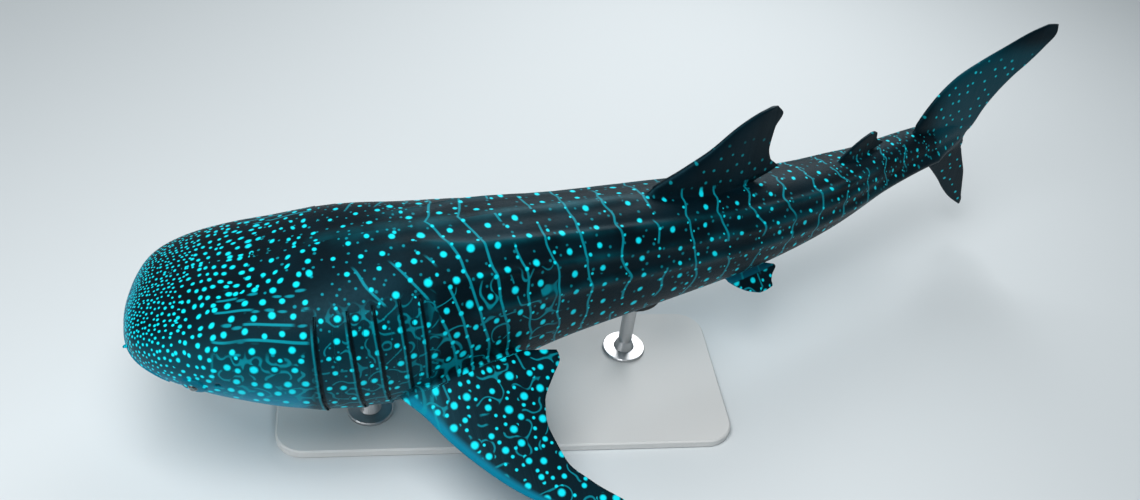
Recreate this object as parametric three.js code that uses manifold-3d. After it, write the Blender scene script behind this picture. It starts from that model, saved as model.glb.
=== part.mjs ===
// A life-size whale shark, caught in mid stroke, on a plain display stand.
// Millimetres, +Z up. The origin is the middle of the underside of the stand's base.
// The snout points to -X, the left flank faces -Y, and the body bends so that the tail goes to +Y.
import * as THREE from "three";
import { mergeVertices } from "three/addons/utils/BufferGeometryUtils.js";
import Module from "manifold-3d";

const wasm = await Module();
wasm.setup();

// Driving dimensions of the animal
const gap = 0.3;
const stockEnd = 4790;
const swimHeight = 800;
const snoutX = -1850;
const snoutY = -190;

// Distance behind the snout and the heading there in degrees, + bending towards +Y
const headings = [
  [0, -4], [600, -4], [1000, 5], [1500, 16], [2000, 18.5], [2800, 19],
  [3500, 25], [4200, 33], [4600, 30], [4900, 22], [5200, 13], [5700, 6],
];

// Distance behind the snout, half width, height above the axis, depth below it
const stations = [
  [0, 0, 0, 0], [60, 290, 116, 124], [185, 408, 182, 184], [305, 457, 230, 224],
  [550, 505, 308, 287], [855, 520, 400, 366], [1220, 475, 454, 421], [1650, 390, 442, 415],
  [2135, 312, 390, 363], [2685, 280, 338, 308], [3235, 250, 278, 250], [3780, 204, 214, 189],
  [4270, 152, 165, 146], [stockEnd, 110, 140, 116],
];
const snoutStart = 0.6;
const widestS = 855;
const headSquareness = 2.5;
const trunkSquareness = 2.3;

// Where the body is parted, and the step between sections there
const lengths = [
  { name: "head", from: 0, to: 830, sections: 16 },
  { name: "gills", from: 830, to: 1340, sections: 13 },
  { name: "trunk_front", from: 1340, to: 2100, sections: 7 },
  { name: "trunk_middle", from: 2100, to: 2950, sections: 7 },
  { name: "trunk_rear", from: 2950, to: 3850, sections: 7 },
  { name: "tail_stock", from: 3850, to: stockEnd, sections: 8 },
];

// Gill slits: distance behind the snout at the top and the foot, and the angle of the foot
const slits = [
  { top: 872, foot: 925, footAngle: -44 },
  { top: 994, foot: 1062, footAngle: -33 },
  { top: 1092, foot: 1150, footAngle: -22 },
  { top: 1192, foot: 1238, footAngle: -14 },
  { top: 1278, foot: 1306, footAngle: -8 },
];
const slitTopAngle = 44;
const slitDepth = 36;
const slitWidth = 5;
const flapRise = 10;

// Mouth, nostrils, eyes and spiracles
const mouthHalfWidth = 405;
const mouthMiddleZ = -46;
const mouthCornerDrop = 46;
const mouthOpening = 9;
const mouthDepth = 95;
const lipRadius = 17;
const nostrilY = 285;
const mouthBackHeight = 3;
const nostrilSize = [24, 14, 11];
const barbelSize = [10, 14, 7];
const eyeAt = { s: 378, angle: -12, radius: 27, sunk: 2 };
const eyeSwellingSize = [60, 48, 15];
const spiracleAt = { s: 492, angle: -4, size: [15, 10.5, 21] };

const rad = THREE.MathUtils.degToRad;
const lerp = THREE.MathUtils.lerp;

// A smooth curve through [x, y] points that never overshoots them
function smooth(points) {
  const slopes = points.slice(1).map((p, i) => (p[1] - points[i][1]) / (p[0] - points[i][0]));
  const tangents = points.map((p, i) => {
    if (i === 0) return slopes[0];
    if (i === points.length - 1) return slopes[i - 1];
    const before = slopes[i - 1];
    const after = slopes[i];
    return before * after <= 0 ? 0 : (2 * before * after) / (before + after);
  });
  return (x) => {
    const last = points.length - 1;
    if (x <= points[0][0]) return points[0][1];
    if (x >= points[last][0]) return points[last][1];
    const i = points.findIndex((p) => p[0] > x) - 1;
    const width = points[i + 1][0] - points[i][0];
    const t = (x - points[i][0]) / width;
    const part = 3 * t ** 2 - 2 * t ** 3;
    const level = lerp(points[i][1], points[i + 1][1], part);
    const bend = tangents[i] * (t ** 3 - 2 * t ** 2 + t) + tangents[i + 1] * (t ** 3 - t ** 2);
    return level + width * bend;
  };
}

// The spine: a level curve that is walked from the snout in short steps
const heading = smooth(headings);
const spineStep = 10;
const spineLength = 5800;
const spine = [[snoutX, snoutY]];
while (spine.length * spineStep < spineLength) {
  const [x, y] = spine[spine.length - 1];
  const turn = rad(heading((spine.length - 0.5) * spineStep));
  spine.push([x + spineStep * Math.cos(turn), y + spineStep * Math.sin(turn)]);
}

// The place `side` mm to the left of the spine and `z` mm above it, `s` mm behind the snout
function place(s, side, z) {
  const i = THREE.MathUtils.clamp(Math.floor(s / spineStep), 0, spine.length - 2);
  const t = s / spineStep - i;
  const turn = rad(heading(s));
  const x = lerp(spine[i][0], spine[i + 1][0], t) + side * Math.sin(turn);
  const y = lerp(spine[i][1], spine[i + 1][1], t) - side * Math.cos(turn);
  return new THREE.Vector3(x, y, swimHeight + z);
}

// Body sizes along the spine; the square root keeps the snout round
function sizeCurve(column) {
  const curve = smooth(stations.map((row) => [Math.sqrt(row[0]), row[column]]));
  return (s) => curve(Math.sqrt(s));
}
const halfWidth = sizeCurve(1);
const rise = sizeCurve(2);
const drop = sizeCurve(3);
const squareness = smooth([[0, headSquareness], [700, headSquareness], [1500, trunkSquareness]]);

// The ridges of the back and flanks: their angle round the section and their height
const upperRidge = smooth([[900, 83], [1320, 78], [1600, 68], [2700, 54], [stockEnd, 42]]);
const middleRidge = smooth([[900, 60], [1500, 46], [2700, 31], [stockEnd, 20]]);
const lowerRidge = smooth([[900, 30], [1500, 22], [2700, 10], [3900, 2], [stockEnd, 0]]);
const ridges = [
  { angle: upperRidge, peak: 13, from: 1000, to: 4300 },
  { angle: middleRidge, peak: 12, from: 1250, to: 4300 },
  { angle: lowerRidge, peak: 12, from: 1400, to: spineLength },
];
const ridgeFoot = 5;
const backRidge = { peak: 16, from: 700, to: 2700 };
const keel = smooth([[3600, 0], [4200, 16], [4600, 30], [stockEnd, 34]]);

// Swells from nothing at one end of a stretch and fades at the other
const ridgeFade = 350;
function swell(s, from, to) {
  const t = Math.min((s - from) / ridgeFade, (to - s) / ridgeFade, 1);
  return t <= 0 ? 0 : t * t * (3 - 2 * t);
}

// Where a slit crosses an angle of the section
function slitS(slit, angle) {
  const down = Math.max(0, (slitTopAngle - angle) / (slitTopAngle - slit.footAngle));
  return lerp(slit.top, slit.foot, down ** 1.5);
}

// Each gill flap lifts slowly towards the slit behind it
const flapTopAngle = slitTopAngle + 6;
const flapFootAngle = -50;
const flapFade = 20;
const firstFlapLength = 110;
function flapLift(s, angle) {
  if (angle > flapTopAngle || angle < flapFootAngle) return 0;
  const fadeTop = Math.min(1, (flapTopAngle - angle) / flapFade);
  const fadeFoot = Math.min(1, (angle - flapFootAngle) / flapFade);
  const next = slits.findIndex((slit) => slitS(slit, angle) > s);
  if (next < 0) return 0;
  const end = slitS(slits[next], angle);
  const start = next > 0 ? slitS(slits[next - 1], angle) : end - firstFlapLength;
  const t = (s - start) / (end - start);
  return t < 0 ? 0 : flapRise * t * t * fadeTop * fadeFoot;
}

// The angles of one flank's columns, from the back to the belly, with a column on each ridge
const bellyColumns = 5;
function columnAngles(s) {
  const crests = ridges.map((ridge) => ridge.angle(s));
  const angles = [90, (90 + crests[0] + ridgeFoot) / 2];
  crests.forEach((crest, i) => {
    angles.push(crest + ridgeFoot, crest, crest - ridgeFoot);
    if (i < 2) angles.push((crest + crests[i + 1]) / 2);
  });
  const last = crests[2] - ridgeFoot;
  for (let i = 1; i <= bellyColumns; i++) angles.push(lerp(last, -90, i / bellyColumns));
  return angles;
}

// How far the skin stands out past the plain section at one place
function relief(s, angle) {
  let out = flapLift(s, angle);
  if (angle > 89) out += backRidge.peak * swell(s, backRidge.from, backRidge.to);
  ridges.forEach((ridge, i) => {
    if (Math.abs(angle - ridge.angle(s)) > 0.5) return;
    out += ridge.peak * swell(s, ridge.from, ridge.to);
    if (i === 2) out += keel(s);
  });
  return out;
}

// A point of the skin: side is 1 on the left flank and -1 on the right, grow makes the body larger
function skin(s, angle, side, grow = 0) {
  const power = 2 / squareness(s);
  const out = grow + relief(s, angle);
  const c = Math.max(0, Math.cos(rad(angle))) ** power;
  const h = Math.abs(Math.sin(rad(angle))) ** power;
  const z = angle > 0 ? (rise(s) + out) * h : -(drop(s) + out) * h;
  return place(s, side * (halfWidth(s) + out) * c, z);
}

// A point of the skin with its outward direction and the direction along the body
function skinFrame(s, angle, side) {
  const point = skin(s, angle, side);
  const along = skin(s + 4, angle, side).sub(skin(s - 4, angle, side)).normalize();
  const round = skin(s, angle + 2, side).sub(skin(s, angle - 2, side)).normalize();
  const out = along.clone().cross(round).normalize().multiplyScalar(side);
  return { point, along, round, out };
}

// One closed section of the body
function section(s, grow = 0) {
  const left = columnAngles(s);
  const right = left.slice(1, -1).reverse();
  return [...left.map((a) => skin(s, a, 1, grow)), ...right.map((a) => skin(s, a, -1, grow))];
}

// A solid from points and triangles, turned so that its faces point out
function solid(points, faces) {
  const build = (triangles) =>
    new wasm.Manifold(
      new wasm.Mesh({
        numProp: 3,
        vertProperties: new Float32Array(points.flatMap((p) => [p.x, p.y, p.z])),
        triVerts: new Uint32Array(triangles.flat()),
      }),
    );
  const made = build(faces);
  return made.volume() > 0 ? made : build(faces.map(([a, b, c]) => [a, c, b]));
}

// A solid through rings of as many points each; a fan round the middle closes each end
function loft(rings) {
  const count = rings[0].length;
  const points = rings.flat();
  const faces = [];
  for (let r = 0; r < rings.length - 1; r++) {
    for (let i = 0; i < count; i++) {
      const a = r * count + i;
      const b = r * count + ((i + 1) % count);
      faces.push([a, b, b + count], [a, b + count, a + count]);
    }
  }
  for (const [r, flip] of [[0, true], [rings.length - 1, false]]) {
    const middle = points.length;
    points.push(rings[r].reduce((sum, p) => sum.add(p), new THREE.Vector3()).divideScalar(count));
    for (let i = 0; i < count; i++) {
      const a = r * count + i;
      const b = r * count + ((i + 1) % count);
      faces.push(flip ? [b, a, middle] : [a, b, middle]);
    }
  }
  return solid(points, faces);
}

// A solid from one of the library's closed shapes, moved by a matrix
function solidOf(geometry, matrix) {
  const bare = geometry.clone().applyMatrix4(matrix);
  bare.deleteAttribute("normal");
  bare.deleteAttribute("uv");
  const merged = mergeVertices(bare, 1e-3);
  const position = merged.getAttribute("position");
  const points = [];
  for (let i = 0; i < position.count; i++) {
    points.push(new THREE.Vector3().fromBufferAttribute(position, i));
  }
  const index = Array.from(merged.index.array);
  const faces = [];
  for (let i = 0; i < index.length; i += 3) faces.push(index.slice(i, i + 3));
  return solid(points, faces);
}

// A ball of three radii along three directions
function ball(centre, radii, frame, detail = 10) {
  const matrix = new THREE.Matrix4().makeBasis(
    frame[0].clone().multiplyScalar(radii[0]),
    frame[1].clone().multiplyScalar(radii[1]),
    frame[2].clone().multiplyScalar(radii[2]),
  );
  matrix.setPosition(centre);
  return solidOf(new THREE.SphereGeometry(1, detail, Math.round(detail * 0.7)), matrix);
}

// The distances behind the snout of a length's sections; on the head they crowd at the snout
function sectionPlaces({ from, to, sections }) {
  const places = [];
  for (let i = 0; i <= sections; i++) {
    const t = i / sections;
    places.push(from === 0 ? lerp(snoutStart, to, t * t) : lerp(from, to, t));
  }
  return places;
}

// One length of the body, held back by half a gap from its neighbours
function lengthSolid(length) {
  const places = sectionPlaces(length);
  if (length.from > 0) places[0] += gap / 2;
  places[places.length - 1] -= gap / 2;
  return loft(places.map((s) => section(s)));
}

// The whole body, larger by a gap, which is cut from all that grows out of it
const grownPlaces = lengths.flatMap((length, i) => sectionPlaces(length).slice(i === 0 ? 0 : 1));
const grownBody = loft(grownPlaces.map((s) => section(s, gap)));

// Mouth
const mouthZ = (y) => mouthMiddleZ - mouthCornerDrop * (y / mouthHalfWidth) ** 2;

// Distance behind the snout at which the skin is `y` to the side and `z` above the axis
function noseS(y, z) {
  let near = snoutStart;
  let far = widestS;
  for (let i = 0; i < 40; i++) {
    const s = (near + far) / 2;
    const n = squareness(s);
    const height = z > 0 ? rise(s) : drop(s);
    const inside = (Math.abs(y) / halfWidth(s)) ** n + (Math.abs(z) / height) ** n < 1;
    if (inside) far = s;
    else near = s;
  }
  return far;
}
const mouthSteps = 16;
const mouthYs = Array.from({ length: mouthSteps + 1 }, (_, i) => {
  const t = (2 * i) / mouthSteps - 1;
  return mouthHalfWidth * Math.sin((t * Math.PI) / 2);
});

// The slot between the jaws: open at the lips, thin at its back, and closing at the corners
function mouthSlot() {
  return loft(
    mouthYs.map((y) => {
      const nearCorner = Math.abs(y / mouthHalfWidth) ** 6;
      const half = lerp(mouthOpening, mouthBackHeight, nearCorner);
      const z = mouthZ(y);
      const lipS = noseS(y, z);
      const back = lipS + lerp(mouthDepth, 20, nearCorner);
      const front = lipS - 60;
      return [
        place(front, -y, z + half),
        place(back, -y, z + mouthBackHeight / 2),
        place(back, -y, z - mouthBackHeight / 2),
        place(front, -y, z - half),
      ];
    }),
  );
}

// A rounded lip along the slot, above it for up = 1 and below it for up = -1
function lip(up) {
  const sides = 6;
  return loft(
    mouthYs.map((y) => {
      const nearCorner = Math.abs(y / mouthHalfWidth) ** 3;
      const radius = lerp(lipRadius, 7, nearCorner);
      const z = mouthZ(y) + up * (mouthOpening + radius * 0.75);
      const s = noseS(y, z) + radius * 0.55;
      const ahead = noseS(y + 3, z) - noseS(y - 3, z);
      const lean = Math.atan2(ahead, 6);
      return Array.from({ length: sides }, (_, i) => {
        const turn = (2 * Math.PI * i) / sides;
        const outward = radius * Math.cos(turn);
        const side = -(y + outward * Math.sin(lean));
        return place(s - outward * Math.cos(lean), side, z + radius * Math.sin(turn));
      });
    }),
  );
}

// Nostril: a pit in the upper lip with a short barbel beside it
function nostrilFrame(side) {
  const z = mouthZ(nostrilY) + mouthOpening + lipRadius * 1.9;
  const s = noseS(nostrilY, z);
  const out = new THREE.Vector3(-0.8, -0.6 * side, 0);
  const across = new THREE.Vector3(0.6, -0.8 * side, 0);
  return { point: place(s, side * nostrilY, z), out, across, up: new THREE.Vector3(0, 0, 1) };
}
function nostrilPit(side) {
  const { point, out, across, up } = nostrilFrame(side);
  return ball(point, nostrilSize, [across, out, up], 8);
}
function barbel(side) {
  const { point, out, across, up } = nostrilFrame(side);
  const foot = point.clone().addScaledVector(across, -26).addScaledVector(up, -8);
  return ball(foot, barbelSize, [across, out, up], 8);
}

// Eye: a low swelling with a round socket, and the ball in it
function eyeCentre(side) {
  const frame = skinFrame(eyeAt.s, eyeAt.angle, side);
  return { ...frame, centre: frame.point.clone().addScaledVector(frame.out, -eyeAt.sunk) };
}
function eyeSwelling(side) {
  const { point, along, round, out } = eyeCentre(side);
  return ball(point, eyeSwellingSize, [along, round, out], 12);
}
function eyeBall(side, grow = 0) {
  const { centre, along, round, out } = eyeCentre(side);
  const radius = eyeAt.radius + grow;
  return ball(centre, [radius, radius, radius], [along, round, out], 12);
}
function spiracle(side) {
  const { point, along, round, out } = skinFrame(spiracleAt.s, spiracleAt.angle, side);
  return ball(point, spiracleAt.size, [along, round, out], 8);
}

// Gill slit: a thin curved blade, raked forwards so that the flap in front overhangs it
function slitBlade(slit, side) {
  const steps = 6;
  const rings = [];
  for (let i = 0; i <= steps; i++) {
    const angle = lerp(slitTopAngle, slit.footAngle, i / steps);
    const s = slitS(slit, angle);
    const { point, along, out } = skinFrame(s, angle, side);
    const fade = Math.sin(Math.PI * lerp(0.08, 0.92, i / steps)) ** 0.5;
    const corner = (back, outward) =>
      point.clone().addScaledVector(along, back).addScaledVector(out, outward);
    rings.push([
      corner(-slitWidth * fade, 24),
      corner(slitWidth * 2.4 * fade, 24),
      corner(-slitDepth * 0.5 * fade + 1.5, -slitDepth * fade),
      corner(-slitDepth * 0.5 * fade - 1.5, -slitDepth * fade),
    ]);
  }
  return loft(rings);
}

// Fin: sections from the leading to the trailing edge at each level, alike on both faces.
// at(u, v, w) gives the place u along the chord, v along the span and w across the fin.
const chordParts = [0.05, 0.16, 0.34, 0.58, 0.82, 1];
function fin({ levels, leading, trailing, thickness, edge = 7, at }) {
  const rings = levels.map((v) => {
    const front = leading(v);
    const back = trailing(v);
    const fullness = (t) => Math.sqrt(t) * (1 - t) * 2.45;
    const points = chordParts.map((t) => {
      const half = t === 1 ? edge / 2 : (thickness(v) * fullness(t)) / 2 + edge / 2;
      return [lerp(front, back, t), half];
    });
    const upper = points.map(([u, half]) => at(u, v, half));
    const lower = points.map(([u, half]) => at(u, v, -half)).reverse();
    return [at(front, v, 0), ...upper, ...lower];
  });
  return loft(rings);
}

// Fins that stand on the midline follow the spine: u is the distance behind the snout, v the height
const onMidline = (u, v, w) => place(u, w, v);
const firstDorsal = fin({
  levels: [200, 290, 315, 345, 407, 468, 541, 608, 669, 710, 734, 745],
  leading: smooth([
    [200, 2600], [345, 2572], [468, 2780], [541, 2915], [669, 3085], [724, 3195], [745, 3270],
  ]),
  trailing: smooth([
    [200, 3240], [279, 3255], [315, 3440], [345, 3418], [407, 3352], [492, 3325], [608, 3330], [690, 3362],
    [745, 3318],
  ]),
  thickness: smooth([[200, 90], [345, 72], [745, 14]]),
  at: onMidline,
});
const secondDorsal = fin({
  levels: [120, 172, 190, 215, 250, 285, 300, 306],
  leading: smooth([[120, 3930], [195, 3930], [262, 4036], [292, 4114], [306, 4182]]),
  trailing: smooth([
    [120, 4240], [165, 4255], [190, 4352], [215, 4298], [250, 4262], [288, 4252], [306, 4226],
  ]),
  thickness: smooth([[120, 40], [306, 10]]),
  at: onMidline,
});
const analFin = fin({
  levels: [-110, -140, -165, -190, -225, -262, -280, -288],
  leading: smooth([[-288, 4250], [-262, 4190], [-225, 4110], [-165, 4010], [-110, 3990]]),
  trailing: smooth([
    [-288, 4290], [-270, 4320], [-225, 4300], [-190, 4325], [-168, 4375], [-150, 4290], [-110, 4280],
  ]),
  thickness: smooth([[-288, 10], [-110, 38]]),
  at: onMidline,
});

// Tail fin: the stock runs out inside the blade, and the two lobes part at a thin level cut
const runOutPlaces = [stockEnd + gap / 2, 4860, 4940, 5020, 5100];
const runOutWidth = smooth([[stockEnd, 110], [4880, 84], [4980, 54], [5100, 16]]);
const runOutRise = smooth([[stockEnd, 140], [4880, 150], [4980, 150], [5100, 130]]);
const runOutDrop = smooth([[stockEnd, 116], [4880, 114], [4980, 100], [5100, 70]]);
function runOutSection(s) {
  const grown = columnAngles(stockEnd);
  const power = 2 / trunkSquareness;
  const shrink = runOutWidth(s) / runOutWidth(stockEnd);
  const point = (angle, side) => {
    const out = relief(stockEnd, angle) * shrink;
    const c = Math.max(0, Math.cos(rad(angle))) ** power;
    const h = Math.abs(Math.sin(rad(angle))) ** power;
    const z = angle > 0 ? (runOutRise(s) + out) * h : -(runOutDrop(s) + out) * h;
    return place(s, side * (runOutWidth(s) + out) * c, z);
  };
  const right = grown.slice(1, -1).reverse();
  return [...grown.map((a) => point(a, 1)), ...right.map((a) => point(a, -1))];
}
const lobeSplit = -16;
const upperLobe = fin({
  levels: [-60, 18, 80, 140, 213, 290, 360, 433, 500, 570, 640, 700, 745, 775],
  leading: smooth([
    [-60, 4800], [110, 4800], [140, 4640], [213, 4668], [360, 4762], [476, 4886], [555, 5030], [640, 5190],
    [732, 5350], [775, 5450],
  ]),
  trailing: smooth([
    [-60, 5135], [18, 5138], [110, 5174], [207, 5205], [317, 5260], [433, 5339], [518, 5412], [622, 5485],
    [720, 5536], [775, 5524],
  ]),
  thickness: smooth([[-60, 80], [200, 62], [400, 44], [775, 10]]),
  at: onMidline,
});
const lowerLobe = fin({
  levels: [60, 0, -60, -104, -160, -230, -311, -390, -470, -520, -546],
  leading: smooth([
    [-546, 5290], [-520, 5252], [-470, 5187], [-390, 5110], [-311, 5046], [-160, 4900], [-104, 4835],
    [-60, 4800], [60, 4800],
  ]),
  trailing: smooth([
    [-546, 5306], [-520, 5306], [-470, 5290], [-390, 5268], [-274, 5235], [-160, 5182], [-80, 5148],
    [0, 5135], [60, 5145],
  ]),
  thickness: smooth([[-546, 10], [-300, 30], [-100, 50], [60, 76]]),
  at: onMidline,
});
const runOut = loft(runOutPlaces.map(runOutSection));
const tailBlade = upperLobe.add(lowerLobe).add(runOut).subtract(grownBody);
const upperTail = tailBlade.trimByPlane([0, 0, 1], swimHeight + lobeSplit + gap / 2);
const lowerTail = tailBlade.trimByPlane([0, 0, -1], -(swimHeight + lobeSplit - gap / 2));

// Paired fins lie in a plane through their root that falls away from the flank
function pairedPlace({ rootFront, rootBack, fall, droop, side }) {
  const front = skin(rootFront.s, rootFront.angle, side);
  const chord = skin(rootBack.s, rootBack.angle, side).sub(front).normalize();
  const turn = rad(heading((rootFront.s + rootBack.s) / 2));
  const outward = new THREE.Vector3(Math.sin(turn), -Math.cos(turn), 0).multiplyScalar(side);
  const span = outward.multiplyScalar(Math.cos(rad(fall))).setZ(-Math.sin(rad(fall)));
  span.addScaledVector(chord, -span.dot(chord));
  span.normalize();
  const normal = chord.clone().cross(span).normalize();
  if (normal.z < 0) normal.negate();
  return (u, v, w) => {
    const level = front.clone().addScaledVector(chord, u).addScaledVector(span, v);
    return level.addScaledVector(normal, w - droop * v * v);
  };
}
const pectoral = (side) =>
  fin({
    levels: [-110, -50, 0, 43, 80, 125, 201, 293, 390, 500, 598, 700, 800, 890, 950, 985],
    leading: smooth([
      [-110, -10], [0, 0], [43, 20], [140, 67], [293, 122], [482, 214], [653, 323], [800, 457], [903, 588],
      [985, 730],
    ]),
    trailing: smooth([
      [-110, 560], [0, 615], [43, 744], [85, 806], [125, 800], [201, 722], [293, 634], [439, 586],
      [598, 592], [744, 662], [903, 776], [960, 812], [985, 786],
    ]),
    thickness: smooth([[-110, 120], [0, 96], [300, 62], [700, 30], [985, 10]]),
    edge: 8,
    at: pairedPlace({
      rootFront: { s: 1190, angle: -26 },
      rootBack: { s: 1740, angle: -17 },
      fall: 22,
      droop: 0.00004,
      side,
    }),
  });
const pelvic = (side) =>
  fin({
    levels: [-50, 0, 22, 45, 80, 115, 140, 150],
    leading: smooth([[-50, -10], [0, 0], [60, 42], [115, 105], [150, 175]]),
    trailing: smooth([
      [-50, 262], [0, 275], [22, 325], [45, 335], [80, 296], [115, 272], [140, 268], [150, 225],
    ]),
    thickness: smooth([[-50, 44], [150, 8]]),
    edge: 6,
    at: pairedPlace({
      rootFront: { s: 3070, angle: -50 },
      rootBack: { s: 3350, angle: -50 },
      fall: 36,
      droop: 0.0002,
      side,
    }),
  });

// Stand: a flat base with rounded corners, two short rods and a saddle on each
const base = { length: 2400, width: 1000, thickness: 50, corner: 140, bevel: 8 };
const rod = { radius: 38, flangeRadius: 120, flangeHeight: 18, neckRadius: 58, neckHeight: 70 };
const saddle = { radius: 150, height: 62, footRadius: 70, rimHeight: 48, cut: 50 };
const turnedSides = 28;
const rodPlaces = { front: 1130, rear: 2620 };

function standBase() {
  const x = base.length / 2 - base.bevel;
  const y = base.width / 2 - base.bevel;
  const r = base.corner;
  const outline = new THREE.Shape();
  outline.absarc(x - r, y - r, r, 0, Math.PI / 2);
  outline.absarc(r - x, y - r, r, Math.PI / 2, Math.PI);
  outline.absarc(r - x, r - y, r, Math.PI, 1.5 * Math.PI);
  outline.absarc(x - r, r - y, r, 1.5 * Math.PI, 2 * Math.PI);
  outline.closePath();
  const depth = base.thickness - 2 * base.bevel;
  const slab = new THREE.ExtrudeGeometry(outline, {
    depth, curveSegments: 5, bevelThickness: base.bevel, bevelSize: base.bevel, bevelSegments: 1,
  });
  return solidOf(slab, new THREE.Matrix4().makeTranslation(0, 0, base.bevel));
}

// The height of the belly's lowest line at a rod
const bellyZ = (s) => swimHeight - drop(s);

// A round part from its profile of [radius, height] points, standing below a place on the spine
function turned(profile, s) {
  const foot = place(s, 0, 0);
  const lathe = new THREE.LatheGeometry(profile.map(([r, z]) => new THREE.Vector2(r, z)), turnedSides);
  const upright = new THREE.Matrix4().makeRotationX(Math.PI / 2);
  return solidOf(lathe, upright.setPosition(foot.x, foot.y, 0));
}
function standRod(s) {
  const bottom = base.thickness + gap;
  const top = bellyZ(s) - saddle.height - gap;
  const chamfer = 5;
  const profile = [
    [0, bottom],
    [rod.flangeRadius, bottom],
    [rod.flangeRadius, bottom + rod.flangeHeight - chamfer],
    [rod.flangeRadius - chamfer, bottom + rod.flangeHeight],
    [rod.neckRadius, bottom + rod.flangeHeight + 3],
    [rod.radius, bottom + rod.neckHeight],
    [rod.radius, top],
    [0, top],
  ];
  return turned(profile, s);
}
function standSaddle(s) {
  const bottom = bellyZ(s) - saddle.height;
  const top = bottom + saddle.height + saddle.cut;
  const profile = [
    [0, bottom],
    [saddle.footRadius, bottom],
    [saddle.radius - 12, bottom + saddle.rimHeight - 14],
    [saddle.radius, bottom + saddle.rimHeight],
    [saddle.radius, top],
    [0, top],
  ];
  return turned(profile, s).subtract(grownBody);
}

// The head with its lips, eye swellings and openings
const sides = [1, -1];
let head = lengthSolid(lengths[0]).add(lip(1)).add(lip(-1));
for (const side of sides) {
  head = head.add(eyeSwelling(side)).subtract(nostrilPit(side)).add(barbel(side));
}
head = head.subtract(mouthSlot());
for (const side of sides) {
  head = head.subtract(eyeBall(side, gap)).subtract(spiracle(side));
}

let gillLength = lengthSolid(lengths[1]);
for (const slit of slits) {
  for (const side of sides) gillLength = gillLength.subtract(slitBlade(slit, side));
}

// Finishes
function finish(color, roughness, metalness = 0) {
  return new THREE.MeshStandardMaterial({ color, roughness, metalness });
}
const finishes = {
  skin: finish(0x0a2c38, 0.45),
  fins: finish(0x0b3340, 0.45),
  eye: finish(0x05080a, 0.1),
  base: finish(0xd8d8d4, 0.6),
  steel: finish(0x9a9c9e, 0.35, 0.9),
  pad: finish(0x2a2c2e, 0.8),
};

const model = new THREE.Group();
model.name = "whale_shark";

// Adds a node that keeps its largest closed piece
function addNode(name, shape, material) {
  const pieces = shape.decompose();
  const largest = pieces.reduce((a, b) => (b.volume() > a.volume() ? b : a));
  const { vertProperties, triVerts, numProp } = largest.getMesh();
  const geometry = new THREE.BufferGeometry();
  const positions = new Float32Array((vertProperties.length / numProp) * 3);
  for (let i = 0; i < positions.length / 3; i++) {
    for (let k = 0; k < 3; k++) positions[3 * i + k] = vertProperties[numProp * i + k];
  }
  geometry.setAttribute("position", new THREE.BufferAttribute(positions, 3));
  geometry.setIndex(new THREE.BufferAttribute(new Uint32Array(triVerts), 1));
  const mesh = new THREE.Mesh(geometry, material);
  mesh.name = name;
  model.add(mesh);
}

addNode("head", head, finishes.skin);
addNode("gills", gillLength, finishes.skin);
for (const length of lengths.slice(2)) addNode(length.name, lengthSolid(length), finishes.skin);
addNode("dorsal_fin_first", firstDorsal.subtract(grownBody), finishes.fins);
addNode("dorsal_fin_second", secondDorsal.subtract(grownBody), finishes.fins);
addNode("anal_fin", analFin.subtract(grownBody), finishes.fins);
addNode("caudal_fin_upper", upperTail, finishes.fins);
addNode("caudal_fin_lower", lowerTail, finishes.fins);
for (const [side, word] of [[1, "left"], [-1, "right"]]) {
  addNode(`pectoral_fin_${word}`, pectoral(side).subtract(grownBody), finishes.fins);
  addNode(`pelvic_fin_${word}`, pelvic(side).subtract(grownBody), finishes.fins);
  addNode(`eye_${word}`, eyeBall(side), finishes.eye);
}
addNode("stand_base", standBase(), finishes.base);
for (const [word, s] of Object.entries(rodPlaces)) {
  addNode(`stand_rod_${word}`, standRod(s), finishes.steel);
  addNode(`stand_saddle_${word}`, standSaddle(s), finishes.pad);
}

export default model;
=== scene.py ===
# %% [markdown]
# A life-size whale shark as a museum model on a plain stand.
# The solids come packed from the CAD step and stay where they are.
# Here the animal gets one fused skin with its own markings, real eyes, and a lit studio round it.

# %% Load the frame
import math

import bmesh
import bpy
import numpy as np
from mathutils import Matrix, Vector


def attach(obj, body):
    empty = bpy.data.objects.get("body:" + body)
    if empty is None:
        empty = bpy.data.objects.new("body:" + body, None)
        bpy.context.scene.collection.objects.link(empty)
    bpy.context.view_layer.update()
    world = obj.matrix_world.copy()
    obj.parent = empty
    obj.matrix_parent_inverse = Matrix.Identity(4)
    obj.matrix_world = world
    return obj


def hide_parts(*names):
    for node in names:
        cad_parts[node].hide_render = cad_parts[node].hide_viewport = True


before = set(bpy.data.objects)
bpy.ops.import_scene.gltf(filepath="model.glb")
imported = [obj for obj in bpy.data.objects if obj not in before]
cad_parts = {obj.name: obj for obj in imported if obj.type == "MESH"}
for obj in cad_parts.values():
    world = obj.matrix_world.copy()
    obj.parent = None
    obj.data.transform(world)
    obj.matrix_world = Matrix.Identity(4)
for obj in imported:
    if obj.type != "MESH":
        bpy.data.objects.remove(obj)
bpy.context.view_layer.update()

# %% [markdown]
# The body is a bent spindle. Its shape can be sculpted, or worked out from a few measured sections.
# Worked out is better here, because the skin then lies exactly on the solids underneath.
# All sizes are millimetres, as on a maker's drawing, and turn into metres at the very end.

# %% Smooth curves through a few measured points
MM = 0.001


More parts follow.
